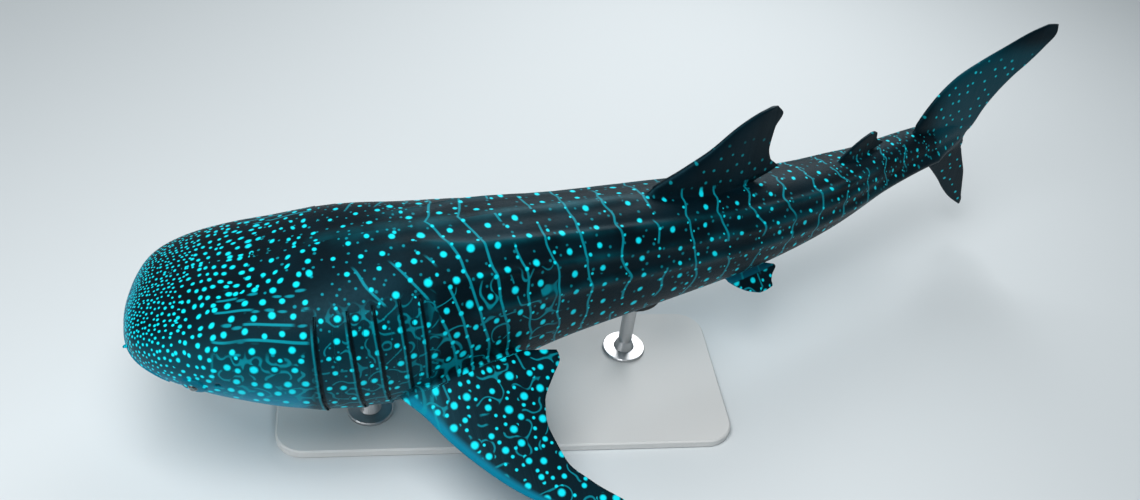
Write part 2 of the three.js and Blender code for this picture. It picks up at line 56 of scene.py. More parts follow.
def smooth(points):
    """A curve through (x, y) points that never overshoots them; it takes and returns arrays."""
    xs = np.array([p[0] for p in points], float)
    ys = np.array([p[1] for p in points], float)
    steps = np.diff(xs)
    slopes = np.diff(ys) / steps
    tangents = np.empty_like(ys)
    tangents[0] = slopes[0]
    tangents[-1] = slopes[-1]
    product = slopes[:-1] * slopes[1:]
    total = np.where(product > 0, slopes[:-1] + slopes[1:], 1.0)
    tangents[1:-1] = np.where(product > 0, 2 * product / total, 0.0)

    def curve(x):
        x = np.clip(np.asarray(x, float), xs[0], xs[-1])
        i = np.clip(np.searchsorted(xs, x, side="right") - 1, 0, len(steps) - 1)
        t = (x - xs[i]) / steps[i]
        start = ys[i] * (2 * t**3 - 3 * t**2 + 1) + tangents[i] * steps[i] * (t**3 - 2 * t**2 + t)
        end = ys[i + 1] * (3 * t**2 - 2 * t**3) + tangents[i + 1] * steps[i] * (t**3 - t**2)
        return start + end

    return curve


def ease(t):
    """Rises smoothly from 0 to 1 while t does."""
    t = np.clip(t, 0, 1)
    return t * t * (3 - 2 * t)


def swell(s, start, end, fade=350):
    """1 along a stretch of the body, fading to 0 at both its ends."""
    return ease(np.minimum((s - start) / fade, (end - s) / fade))


print("one unit of the drawing is", MM, "m")

# %% [markdown]
# The body follows a spine that bends with the swimming stroke, and every size hangs on it.
# A table gives half width, rise and drop at a few stations, as a boat builder's table of offsets does.
# A long straight body that is bent later would need a deformer; a bent spine needs nothing more.

# %% The spine and the sections
SWIM_HEIGHT = 800
STOCK_END = 4790
SNOUT = (-1850.0, -190.0)
SPINE_STEP = 10
heading = smooth([
    (0, -4), (600, -4), (1000, 5), (1500, 16), (2000, 18.5), (2800, 19),
    (3500, 25), (4200, 33), (4600, 30), (4900, 22), (5200, 13), (5700, 6),
])
spine_turns = np.radians(heading((np.arange(1, 580) - 0.5) * SPINE_STEP))
spine = np.array(SNOUT) + np.concatenate([
    [[0.0, 0.0]],
    np.cumsum(SPINE_STEP * np.stack([np.cos(spine_turns), np.sin(spine_turns)], 1), 0),
])
STATIONS = [
    (0, 0, 0, 0), (60, 290, 116, 124), (185, 408, 182, 184), (305, 457, 230, 224),
    (550, 505, 308, 287), (855, 520, 400, 366), (1220, 475, 454, 421), (1650, 390, 442, 415),
    (2135, 312, 390, 363), (2685, 280, 338, 308), (3235, 250, 278, 250), (3780, 204, 214, 189),
    (4270, 152, 165, 146), (STOCK_END, 110, 140, 116),
]


def size_curve(column):
    """A body size along the spine; the square root keeps the snout round."""
    curve = smooth([(math.sqrt(row[0]), row[column]) for row in STATIONS])
    return lambda s: curve(np.sqrt(np.maximum(s, 0)))


half_width = size_curve(1)
rise = size_curve(2)
drop = size_curve(3)
squareness = smooth([(0, 2.5), (700, 2.5), (1500, 2.3)])


def place(s, side, z):
    """Points `side` mm to the left of the spine and `z` mm above it, `s` mm behind the snout."""
    s, side, z = np.broadcast_arrays(*[np.asarray(v, float) for v in (s, side, z)])
    i = np.clip(np.floor(s / SPINE_STEP).astype(int), 0, len(spine) - 2)
    t = s / SPINE_STEP - i
    turn = np.radians(heading(s))
    x = spine[i, 0] * (1 - t) + spine[i + 1, 0] * t + side * np.sin(turn)
    y = spine[i, 1] * (1 - t) + spine[i + 1, 1] * t - side * np.cos(turn)
    return np.stack([x, y, SWIM_HEIGHT + z], -1)


print("body length", STOCK_END, "mm, widest", float(half_width(855)) * 2, "mm")

# %% [markdown]
# A whale shark has a keel-like ridge on its back and three ridges along each flank.
# The lowest one grows into the strong keel at the root of the tail.
# They could be carved later, but as soft bumps on the section they stay smooth and exact.

# %% Ridges, gill flaps and folds
NAPE_RISE = 16
NAPE_REACH = 34
RIDGE_REACH = 24
KEEL_REACH = 22
RIDGES = [
    (smooth([(900, 83), (1320, 78), (1600, 68), (2700, 54), (4790, 42)]), 13, 1000, 4300),
    (smooth([(900, 60), (1500, 46), (2700, 31), (4790, 20)]), 12, 1250, 4300),
    (smooth([(900, 30), (1500, 22), (2700, 10), (3900, 2), (4790, 0)]), 12, 1400, 6000),
]
keel = smooth([(3600, 0), (4200, 16), (4600, 30), (STOCK_END, 34)])
SLITS = [(872, 925, -44), (994, 1062, -33), (1092, 1150, -22), (1192, 1238, -14), (1278, 1306, -8)]
SLIT_TOP_ANGLE = 44
FLAP_RISE = 10


def slit_s(slit, angle):
    """Where a slit crosses an angle of the section."""
    top, foot, foot_angle = slit
    down = np.maximum(0, (SLIT_TOP_ANGLE - angle) / (SLIT_TOP_ANGLE - foot_angle))
    return top + (foot - top) * down**1.5


def flap_lift(s, angle):
    """Each gill flap lifts slowly towards the slit behind it."""
    lift = np.zeros(np.broadcast(s, angle).shape)
    start = slit_s(SLITS[0], angle) - 110
    for slit in SLITS:
        end = slit_s(slit, angle)
        t = (s - start) / (end - start)
        lift = np.where((t >= 0) & (t < 1), FLAP_RISE * t**2, lift)
        start = end
    fade = ease((SLIT_TOP_ANGLE + 6 - angle) / 20) * ease((angle + 52) / 20)
    return lift * fade


def relief(s, angle):
    """How far the skin stands out past the plain section."""
    out = flap_lift(s, angle)
    radius = (half_width(s) + rise(s)) / 2
    reach = np.radians(np.abs(angle - 90)) * radius
    out = out + NAPE_RISE * swell(s, 700, 2700) * np.exp(-((reach / NAPE_REACH) ** 2))
    for i, (crest, peak, start, end) in enumerate(RIDGES):
        reach = np.radians(np.abs(angle - crest(s))) * radius
        out = out + peak * swell(s, start, end) * np.exp(-((reach / RIDGE_REACH) ** 2))
        if i == 2:
            out = out + keel(s) * np.exp(-((reach / KEEL_REACH) ** 2))
    return out


def skin(s, angle, side, grow=0.0):
    """Points of the skin; side is 1 on the left flank and -1 on the right."""
    s, angle, side = np.broadcast_arrays(*[np.asarray(v, float) for v in (s, angle, side)])
    power = 2 / squareness(s)
    out = grow + relief(s, angle)
    c = np.maximum(0, np.cos(np.radians(angle))) ** power
    h = np.abs(np.sin(np.radians(angle))) ** power
    z = np.where(angle > 0, (rise(s) + out) * h, -(drop(s) + out) * h)
    return place(s, side * (half_width(s) + out) * c, z)


print("ridges on a flank", len(RIDGES), "and gill slits", len(SLITS))

# %% [markdown]
# Three small tools make all meshes here: one turns points and faces into an object,
# one lofts a closed solid through rings, and one joins or cuts two solids with a Boolean.
# The faces of each solid are turned outwards first, since a Boolean needs to know its inside.

# %% Mesh helpers
def make_object(name, points, faces):
    """A new object from points in millimetres."""
    mesh = bpy.data.meshes.new(name)
    mesh.from_pydata((np.asarray(points) * MM).tolist(), [], faces)
    mesh.update()
    obj = bpy.data.objects.new(name, mesh)
    bpy.context.scene.collection.objects.link(obj)
    return obj


def loft(name, rings):
    """A closed solid through rings of as many points each, with a fan over each end."""
    rings = np.asarray(rings, float)
    count = rings.shape[1]
    points = np.concatenate([rings.reshape(-1, 3), rings[:1].mean(1), rings[-1:].mean(1)])
    faces = []
    for r in range(len(rings) - 1):
        for i in range(count):
            a = r * count + i
            b = r * count + (i + 1) % count
            faces.append((a, b, b + count, a + count))
    first = len(points) - 2
    last_ring = (len(rings) - 1) * count
    for i in range(count):
        j = (i + 1) % count
        faces.append((j, i, first))
        faces.append((last_ring + i, last_ring + j, first + 1))
    obj = make_object(name, points, faces)
    turn_out(obj)
    return obj


def turn_out(obj):
    """Turns all faces of a closed mesh outwards."""
    bm = bmesh.new()
    bm.from_mesh(obj.data)
    bmesh.ops.recalc_face_normals(bm, faces=bm.faces)
    bm.to_mesh(obj.data)
    bm.free()


def combine(target, tool, operation):
    """Joins or cuts with another object, which is used up."""
    modifier = target.modifiers.new("step", "BOOLEAN")
    modifier.operation = operation
    modifier.solver = "MANIFOLD"
    modifier.object = tool
    graph = bpy.context.evaluated_depsgraph_get()
    mesh = bpy.data.meshes.new_from_object(target.evaluated_get(graph))
    target.modifiers.clear()
    old = target.data
    target.data = mesh
    bpy.data.meshes.remove(old)
    bpy.data.objects.remove(tool)


print("mesh helpers: make_object, loft, turn_out, combine")

# %% [markdown]
# The trunk of the skin is a loft: rings of points round the body, joined like barrel hoops.
# The rings crowd at the snout and at the gills, where the shape has the most to tell.

# %% The body loft
def ring(angles, s, grow=0.0):
    """One closed ring of the skin."""
    left = skin(s, angles, 1, grow)
    right = skin(s, angles[1:-1][::-1], -1, grow)
    return np.concatenate([left, right])


HALF_COLUMNS = 92
columns = 90 - 180 * np.linspace(0, 1, HALF_COLUMNS)
ring_places = np.concatenate([
    0.4 + 829.6 * np.linspace(0, 1, 90) ** 2,
    np.linspace(830, 1340, 100)[1:],
    np.linspace(1340, STOCK_END, 190)[1:],
])


RUN_OUT_END = 5100
run_out_width = smooth([(STOCK_END, 110), (4880, 84), (4980, 54), (RUN_OUT_END, 16)])
run_out_rise = smooth([(STOCK_END, 140), (4880, 150), (4980, 150), (RUN_OUT_END, 130)])
run_out_drop = smooth([(STOCK_END, 116), (4880, 114), (4980, 100), (RUN_OUT_END, 70)])


def run_out_ring(s):
    """A section of the tail stock as it runs out inside the tail fin."""
    width, up, down = run_out_width(s), run_out_rise(s), run_out_drop(s)
    out = relief(np.full(HALF_COLUMNS, float(STOCK_END)), columns) * width / run_out_width(STOCK_END)
    power = 2 / squareness(STOCK_END)
    c = np.maximum(0, np.cos(np.radians(columns))) ** power
    h = np.abs(np.sin(np.radians(columns))) ** power
    z = np.where(columns > 0, (up + out) * h, -(down + out) * h)
    left = place(s, (width + out) * c, z)
    right = place(s, -(width + out) * c, z)[1:-1][::-1]
    return np.concatenate([left, right])


rings = [ring(columns, s) for s in ring_places]
rings += [run_out_ring(s) for s in np.linspace(STOCK_END, RUN_OUT_END, 26)[1:]]
body = loft("whale_shark_skin", rings)
print("body loft", len(body.data.polygons), "faces")

# %% [markdown]
# A shark's fin is a blade with a blunt leading edge and a thin trailing edge.
# Each one is a loft again, from sections that run along the chord, at many levels of the span.
# The root flares out a little, as the muscle does, so that it grows out of the flank.

# %% Fins
CHORD_PARTS = np.array([0.012, 0.04, 0.08, 0.14, 0.22, 0.31, 0.41, 0.52, 0.63, 0.74, 0.84, 0.92, 0.97, 1.0])
BLADE_FULLNESS = 2.45
TIP_CROWDING = 1.6
PECTORAL_ROOT = ((1190, -26), (1740, -17))
PELVIC_ROOT = ((3070, -50), (3350, -50))


def fin(name, levels, leading, trailing, thickness, at, edge=7, root=None):
    """A closed blade; at(u, v, w) gives the place along the chord, the span and across."""
    sections = []
    for v in levels:
        front = float(leading(v))
        back = float(trailing(v))
        chord = front + (back - front) * CHORD_PARTS
        full = np.sqrt(CHORD_PARTS) * (1 - CHORD_PARTS) * BLADE_FULLNESS
        thick = float(thickness(v))
        if root is not None:
            thick += root[1] * math.exp(-max(0.0, abs(v - root[0])) / root[2])
        half = thick * full / 2 + edge / 2 * np.sqrt(np.minimum(1, CHORD_PARTS / 0.05))
        upper = at(chord, v, half)
        lower = at(chord, v, -half)[::-1]
        sections.append(np.concatenate([at(np.array([front]), v, 0.0), upper, lower]))
    return loft(name, sections)


def levels_between(low, high, count):
    """Levels of the span that crowd towards the tip."""
    return low + (high - low) * (1 - (1 - np.linspace(0, 1, count)) ** TIP_CROWDING)


def on_midline(u, v, w):
    """Midline fins follow the spine: u is the distance behind the snout, v the height."""
    return place(u, w, v)


fins = [
    fin(
        "first_dorsal", levels_between(200, 745, 60),
        smooth([(200, 2600), (345, 2572), (468, 2780), (541, 2915), (669, 3085), (724, 3195), (745, 3270)]),
        smooth([
            (200, 3240), (279, 3255), (315, 3440), (345, 3418), (407, 3352), (492, 3325), (608, 3330),
            (690, 3362), (745, 3318),
        ]),
        smooth([(200, 90), (345, 72), (745, 14)]), on_midline, root=(300, 36, 40),
    ),
    fin(
        "second_dorsal", levels_between(120, 306, 36),
        smooth([(120, 3930), (195, 3930), (262, 4036), (292, 4114), (306, 4182)]),
        smooth([(120, 4240), (165, 4255), (190, 4352), (215, 4298), (250, 4262), (288, 4252), (306, 4226)]),
        smooth([(120, 40), (306, 10)]), on_midline, root=(180, 16, 20),
    ),
    fin(
        "anal", levels_between(-110, -288, 36),
        smooth([(-288, 4250), (-262, 4190), (-225, 4110), (-165, 4010), (-110, 3990)]),
        smooth([
            (-288, 4290), (-270, 4320), (-225, 4300), (-190, 4325), (-168, 4375), (-150, 4290), (-110, 4280),
        ]),
        smooth([(-288, 10), (-110, 38)]), on_midline, root=(-165, 16, 20),
    ),
    fin(
        "upper_lobe", levels_between(-60, 775, 80),
        smooth([
            (-60, 4800), (110, 4800), (140, 4640), (213, 4668), (360, 4762), (476, 4886), (555, 5030),
            (640, 5190), (732, 5350), (775, 5450),
        ]),
        smooth([
            (-60, 5135), (18, 5138), (110, 5174), (207, 5205), (317, 5260), (433, 5339), (518, 5412),
            (622, 5485), (720, 5536), (775, 5524),
        ]),
        smooth([(-60, 80), (200, 62), (400, 44), (775, 10)]), on_midline,
    ),
    fin(
        "lower_lobe", levels_between(60, -546, 56),
        smooth([
            (-546, 5290), (-520, 5252), (-470, 5187), (-390, 5110), (-311, 5046), (-160, 4900),
            (-104, 4835), (-60, 4800), (60, 4800),
        ]),
        smooth([
            (-546, 5306), (-520, 5306), (-470, 5290), (-390, 5268), (-274, 5235), (-160, 5182),
            (-80, 5148), (0, 5135), (60, 5145),
        ]),
        smooth([(-546, 10), (-300, 30), (-100, 50), (60, 76)]), on_midline,
    ),
]


def paired_place(root_front, root_back, fall, droop, side):
    """Paired fins lie in a plane through their root that falls away from the flank."""
    front = skin(*root_front, side)
    chord = skin(*root_back, side) - front
    chord /= np.linalg.norm(chord)
    turn = math.radians(float(heading((root_front[0] + root_back[0]) / 2)))
    flat = math.cos(math.radians(fall)) * side
    span = np.array([math.sin(turn) * flat, -math.cos(turn) * flat, -math.sin(math.radians(fall))])
    span -= chord * (span @ chord)
    span /= np.linalg.norm(span)
    normal = np.cross(chord, span)
    normal /= np.linalg.norm(normal)
    if normal[2] < 0:
        normal = -normal

    def at(u, v, w):
        u, w = np.broadcast_arrays(np.asarray(u, float), np.asarray(w, float))
        return front + u[:, None] * chord + v * span + (w - droop * v * v)[:, None] * normal

    return at


pectoral_leading = smooth([
    (-110, -10), (0, 0), (43, 20), (140, 67), (293, 122), (482, 214), (653, 323), (800, 457), (903, 588),
    (985, 730),
])
pectoral_trailing = smooth([
    (-110, 560), (0, 615), (43, 744), (85, 806), (125, 800), (201, 722), (293, 634), (439, 586), (598, 592),
    (744, 662), (903, 776), (960, 812), (985, 786),
])
pelvic_leading = smooth([(-50, -10), (0, 0), (60, 42), (115, 105), (150, 175)])
pelvic_trailing = smooth([
    (-50, 262), (0, 275), (22, 325), (45, 335), (80, 296), (115, 272), (140, 268), (150, 225),
])
for side in (1, -1):
    fins.append(fin(
        "pectoral", levels_between(-110, 985, 90), pectoral_leading, pectoral_trailing,
        smooth([(-110, 120), (0, 96), (300, 62), (700, 30), (985, 10)]),
        paired_place(*PECTORAL_ROOT, 22, 0.00004, side), edge=8, root=(0, 30, 60),
    ))
    fins.append(fin(
        "pelvic", levels_between(-50, 150, 36), pelvic_leading, pelvic_trailing,
        smooth([(-50, 44), (150, 8)]),
        paired_place(*PELVIC_ROOT, 36, 0.0002, side), edge=6, root=(0, 10, 20),
    ))
for blade in fins:
    combine(body, blade, "UNION")
print("with fins", len(body.data.polygons), "faces")

# %% [markdown]
# The mouth is a wide slit almost at the very front, with a soft lip above and below.
# Each lip is a thick cord laid along the slit; the slot itself is then cut between them.
# That gives a real shadow line, which no painted line would.

# %% Mouth, lips and nostrils
MOUTH_HALF_WIDTH = 405
LIP_RADIUS = 17
MOUTH_OPENING = 9
NOSTRIL_SIDE = 285


def mouth_z(y):
    """The height of the mouth line, which droops to its corners."""
    return -46 - 46 * (y / MOUTH_HALF_WIDTH) ** 2


def nose_s(y, z):
    """The distance behind the snout where the skin is y to the side and z above the axis."""
    near, far = 0.6, 855.0
    for _ in range(40):
        s = (near + far) / 2
        n = float(squareness(s))
        height = float(rise(s) if z > 0 else drop(s))
        inside = (abs(y) / float(half_width(s))) ** n + (abs(z) / height) ** n < 1
        near, far = (near, s) if inside else (s, far)
    return far


def mouth_sides(steps):
    """Places across the mouth that crowd at the corners."""
    return MOUTH_HALF_WIDTH * np.sin(np.linspace(-1, 1, steps + 1) * math.pi / 2)


def lip(up, steps=72, sides=18):
    """A rounded cord above the slot (up = 1) or below it (up = -1)."""
    rings = []
    for y in mouth_sides(steps):
        corner = abs(y / MOUTH_HALF_WIDTH) ** 3
        radius = LIP_RADIUS + (7 - LIP_RADIUS) * corner
        z = mouth_z(y) + up * (MOUTH_OPENING + radius * 0.75)
        s = nose_s(y, z) + radius * 0.55
        lean = math.atan2(nose_s(y + 3, z) - nose_s(y - 3, z), 6)
        turn = 2 * math.pi * np.arange(sides) / sides
        out = radius * np.cos(turn)
        rings.append(place(s - out * math.cos(lean), -(y + out * math.sin(lean)), z + radius * np.sin(turn)))
    return loft("lip", rings)


def mouth_slot(steps=72):
    """The gap between the lips, open at the front and thin at its back."""
    rings = []
    for y in mouth_sides(steps):
        corner = abs(y / MOUTH_HALF_WIDTH) ** 6
        half = MOUTH_OPENING + (3 - MOUTH_OPENING) * corner
        s = nose_s(y, mouth_z(y))
        back = s + 95 + (20 - 95) * corner
        heights = mouth_z(y) + np.array([half, 1.5, -1.5, -half])
        rings.append(place(np.array([s - 60, back, back, s - 60]), -y, heights))
    return loft("mouth_slot", rings)


def ball(name, centre, radii, axes, steps=32):
    """A closed ball with three radii along three directions."""
    bm = bmesh.new()
    bmesh.ops.create_uvsphere(bm, u_segments=steps, v_segments=steps // 2, radius=1)
    points = np.array([v.co[:] for v in bm.verts])
    faces = [[v.index for v in f.verts] for f in bm.faces]
    bm.free()
    axes = np.array(axes, float) * np.array(radii, float)[:, None]
    obj = make_object(name, np.asarray(centre) + points @ axes, faces)
    turn_out(obj)
    return obj


def skin_frame(s, angle, side):
    """A point of the skin with the directions along the body, round it and outwards."""
    point = skin(s, angle, side)
    along = skin(s + 4, angle, side) - skin(s - 4, angle, side)
    along /= np.linalg.norm(along)
    around = skin(s, angle + 2, side) - skin(s, angle - 2, side)
    around /= np.linalg.norm(around)
    out = np.cross(along, around)
    out *= side / np.linalg.norm(out)
    return point, along, around, out


EYE = {"s": 378, "angle": -12, "radius": 27, "sunk": 2}
SOCKET_GAP = 0.6
EYE_RIM = (60, 48, 15)
NOSTRIL = (24, 14, 11)
BARBEL = (10, 14, 7)
SPIRACLE = (15, 10.5, 21)
SPIRACLE_AT = (492, -4)
combine(body, lip(1), "UNION")
combine(body, lip(-1), "UNION")
eye_places = {}
for side in (1, -1):
    z = mouth_z(NOSTRIL_SIDE) + MOUTH_OPENING + LIP_RADIUS * 1.9
    point = place(nose_s(NOSTRIL_SIDE, z), side * NOSTRIL_SIDE, z)
    out = np.array([-0.8, -0.6 * side, 0])
    across = np.array([0.6, -0.8 * side, 0])
    up = np.array([0, 0, 1.0])
    combine(body, ball("nostril", point, NOSTRIL, (across, out, up)), "DIFFERENCE")
    combine(body, ball("barbel", point - 26 * across - 8 * up, BARBEL, (across, out, up)), "UNION")
    point, along, around, out = skin_frame(EYE["s"], EYE["angle"], side)
    eye_places[side] = (point - EYE["sunk"] * out, along, around, out)
    combine(body, ball("eye_rim", point, EYE_RIM, (along, around, out), 48), "UNION")
combine(body, mouth_slot(), "DIFFERENCE")
for side in (1, -1):
    centre, along, around, out = eye_places[side]
    socket = EYE["radius"] + SOCKET_GAP
    combine(body, ball("socket", centre, (socket,) * 3, (along, around, out), 40), "DIFFERENCE")
    point, along, around, out = skin_frame(*SPIRACLE_AT, side)
    combine(body, ball("spiracle", point, SPIRACLE, (along, around, out), 24), "DIFFERENCE")
print("head cut", len(body.data.polygons), "faces")

# %% [markdown]
# Five gill slits stand behind each eye. Each is a thin curved cut, raked forwards.
# The flap in front of a slit overhangs it, so the slits read as dark, deep folds.

# %% Gill slits
def slit_blade(slit, side, steps=40):
    """The thin curved body of one slit, which is cut out of the skin."""
    rings = []
    for i in range(steps + 1):
        t = i / steps
        angle = SLIT_TOP_ANGLE + (slit[2] - SLIT_TOP_ANGLE) * t
        point, along, around, out = skin_frame(float(slit_s(slit, angle)), angle, side)
        fade = math.sin(math.pi * (0.04 + 0.92 * t)) ** 0.5
        deep = -36 * fade
        corners = [(-5 * fade, 24), (12 * fade, 24), (-18 * fade + 1.5, deep), (-18 * fade - 1.5, deep)]
        rings.append([point + a * along + b * out for a, b in corners])
    return loft("slit", rings)


for slit in SLITS:
    for side in (1, -1):
        combine(body, slit_blade(slit, side), "DIFFERENCE")
print("gills cut", len(body.data.polygons), "faces")

# %% [markdown]
# The joins of fins and lips are still sharp creases. On the animal the skin runs over them.
# A few rounds of smoothing, only close to the joins, turn each crease into a soft root.

# %% Softened joins
def measure_skin(points):
    """Distance behind the snout, side and height of points given in millimetres."""
    flat = points[:, :2]
    best = np.concatenate([
        np.argmin(((chunk[:, None, :] - spine[None]) ** 2).sum(-1), 1)
        for chunk in np.array_split(flat, max(1, len(flat) // 4000))
    ])
    turn = np.radians(heading(best * SPINE_STEP))
    ahead = flat - spine[best]
    along = ahead[:, 0] * np.cos(turn) + ahead[:, 1] * np.sin(turn)
    side = ahead[:, 0] * np.sin(turn) - ahead[:, 1] * np.cos(turn)
    return best * SPINE_STEP + along, side, points[:, 2] - SWIM_HEIGHT


def vertex_points(obj):
    """All vertices of an object in millimetres."""
    points = np.empty(len(obj.data.vertices) * 3)
    obj.data.vertices.foreach_get("co", points)
    return points.reshape(-1, 3) / MM


def soften(obj, rounds=8):
    """Smooths the mesh along its sharp hollow edges, but not at the openings of the head."""
    bm = bmesh.new()
    bm.from_mesh(obj.data)
    bmesh.ops.remove_doubles(bm, verts=bm.verts, dist=0.0002)
    bm.verts.ensure_lookup_table()
    points = np.array([v.co[:] for v in bm.verts]) / MM
    s, side, z = measure_skin(points)
    keep_sharp = (s < 560) | ((s > 820) & (s < 1350) & (z < 330) & (z > -330) & (np.abs(side) < 560))
    near = set()
    for edge in bm.edges:
        if len(edge.link_faces) == 2 and edge.calc_face_angle_signed(0) < -0.45:
            near.update(v.index for v in edge.verts if not keep_sharp[v.index])
    for _ in range(3):
        near.update([e.other_vert(bm.verts[i]).index for i in near for e in bm.verts[i].link_edges])
    verts = [bm.verts[i] for i in near if not keep_sharp[i]]
    for _ in range(rounds):
        bmesh.ops.smooth_vert(bm, verts=verts, factor=0.5, use_axis_x=True, use_axis_y=True, use_axis_z=True)
    bm.to_mesh(obj.data)
    bm.free()
    return len(verts)


print("softened", soften(body), "points; faces", len(body.data.polygons))
for polygon in body.data.polygons:
    polygon.use_smooth = True

# %% [markdown]
# The pattern of a whale shark follows its body: rows of spots run along it, lines run across.
# A texture that only knows x, y and z can't follow that, so each point of the skin gets its own chart.
# The chart holds the distance behind the snout and the share of the way round from back to belly.
# A third set of numbers says how long a small step in the chart is on the real skin,
# so that a spot can be drawn round and at its true size anywhere.

# %% Helpers for the charts
def add_attribute(obj, name, values):
    """Stores a number or a vector for each vertex."""
    values = np.asarray(values, float)
    kind = "FLOAT" if values.ndim == 1 else "FLOAT_VECTOR"
    attribute = obj.data.attributes.new(name, kind, "POINT")
    attribute.data.foreach_set("value" if values.ndim == 1 else "vector", values.ravel())


def between_rows(table, row):
    """Reads a table at a fractional row, for each vertex."""
    i = np.clip(np.floor(row).astype(int), 0, len(table) - 2)
    t = (row - i).reshape((-1,) + (1,) * (table.ndim - 1))
    return table[i] * (1 - t) + table[i + 1] * t


def read_table(table, row, column):
    """Reads a table at a fractional row and column, for each vertex."""
    j = np.clip(np.floor(column).astype(int), 0, table.shape[1] - 2)
    t = column - j
    i = np.clip(np.floor(row).astype(int), 0, len(table) - 2)
    w = row - i
    first = table[i, j] * (1 - t) + table[i, j + 1] * t
    second = table[i + 1, j] * (1 - t) + table[i + 1, j + 1] * t
    return first * (1 - w) + second * w


print("chart helpers: add_attribute, between_rows, read_table")

# %% [markdown]
# First the plain skin is measured on a fine table of rows and columns: how long each step is on it.
# Reading a table is much quicker than measuring at each of the many points of the mesh.

# %% A table of the plain skin
TABLE_ROWS = 400
TABLE_COLUMNS = 181
table_s = 1 + (STOCK_END - 1) * np.linspace(0, 1, TABLE_ROWS) ** 2
table_angle = np.linspace(90, -90, TABLE_COLUMNS)
sheet = skin(table_s[:, None], table_angle[None], 1) * MM
arcs = np.cumsum(np.linalg.norm(np.diff(sheet, axis=1), axis=2), 1)
arcs = np.concatenate([np.zeros((TABLE_ROWS, 1)), arcs], 1)
half_girth = arcs[:, -1]
share = arcs / half_girth[:, None]
shares = np.linspace(0, 1, TABLE_COLUMNS)
even = np.stack([
    np.stack([np.interp(shares, share[i], sheet[i, :, k]) for k in range(3)], 1) for i in range(TABLE_ROWS)
])
step_s = np.gradient(even, table_s * MM, axis=0)
step_share = np.gradient(even, shares, axis=1)
length_s = np.linalg.norm(step_s, axis=2)
skewed = (step_s * step_share).sum(2) / length_s
across = np.sqrt(np.maximum((step_share**2).sum(2) - skewed**2, 1e-6))

print("table of", TABLE_ROWS, "rows; girth at most", round(2 * float(half_girth.max()), 2), "m")

# %% [markdown]
# Now each point of the real mesh is looked up in the table. A point that stands well off the plain
# section belongs to a fin. The head counts its dots in girths, so that they stay round as it widens.

# %% The place of each point
points = vertex_points(body)
s, side, z = measure_skin(points)
s = np.maximum(s, 0.5)
power = squareness(s)
wide = np.abs(side) / np.maximum(half_width(s), 1)
high = np.abs(z) / np.maximum(np.where(z > 0, rise(s), drop(s)), 1)
angle = np.degrees(np.arctan2(high ** (power / 2), wide ** (power / 2))) * np.sign(z)
reach = (wide**power + high**power) ** (1 / power)
near_pectoral = (s > 1150) & (s < 2100) & (z < 60)
rooted = np.where(near_pectoral, ease((reach - 1.035) / 0.04), ease((reach - 1.07) / 0.16))
off_body = np.where(s > STOCK_END, 1.0, rooted * (s > 700))
row = np.sqrt(np.clip((s - 1) / (STOCK_END - 1), 0, 1)) * (TABLE_ROWS - 1)
round_share = read_table(share, row, (90 - angle) * (TABLE_COLUMNS - 1) / 180)
column = round_share * (TABLE_COLUMNS - 1)
steps = np.stack([read_table(t, row, column) for t in (length_s, skewed, across)], 1)
head_growth = np.maximum(between_rows(half_girth, row), 0.25)
girths_per_row = np.diff(table_s * MM) * length_s[1:, 60] / np.maximum(half_girth[1:], 0.25)
crowd = np.concatenate([[0], np.cumsum(girths_per_row)])
print("looked up", len(points), "points; on fins", int((off_body > 0.5).sum()))

# %% [markdown]
# The columns of spots get a count of their own, because they lean and their distance changes.
# Ridges, slits and paired fins are charted too, so that the colours can follow them.

# %% Columns, ridges, slits and paired fins
COLUMN_PITCH = smooth([(500, 150), (1200, 158), (1800, 190), (2500, 222), (STOCK_END, 205)])
COLUMN_LEAN = smooth([(900, 700), (1300, 850), (1550, 420), (1850, 120), (3500, -90), (STOCK_END, -90)])
ruler = np.linspace(0, 6000, 601)
columns_passed = np.concatenate([[0], np.cumsum(10 / COLUMN_PITCH(ruler[1:]))])


def column_number(s, share):
    """Counts the columns of spots from the snout; they lean back over the gills only."""
    return np.interp(s, ruler, columns_passed) - COLUMN_LEAN(s) * share / COLUMN_PITCH(s)


column_count = column_number(s, round_share)
per_metre = (column_number(s + 20, round_share) - column_number(s - 20, round_share)) / 0.040
per_share = (column_number(s, round_share + 0.01) - column_number(s, round_share - 0.01)) / 0.02
left_side = np.where(side > 0, 1.0, 0.0)
from_midline = np.radians(90 - angle) * head_growth * 330
# Painted highlight: this chart says where the skin is painted lighter along the nape and the three ridges, as
# wet skin shines there.
ridge_highlight = NAPE_RISE * swell(s, 700, 2700) * np.exp(-((from_midline / 26) ** 2))
for crest, peak, start, end in RIDGES:
    near = np.radians(np.abs(angle - crest(s))) * (half_width(s) + rise(s)) / 2
    ridge_highlight = ridge_highlight + peak * swell(s, start, end) * np.exp(-((near / 20) ** 2))
behind_slit = np.full(len(s), 400.0)
for slit in SLITS:
    gone = s - slit_s(slit, angle)
    inside = (angle < SLIT_TOP_ANGLE + 1) & (angle > slit[2] - 1)
    behind_slit = np.where(inside & (np.abs(gone) < np.abs(behind_slit)), gone, behind_slit)

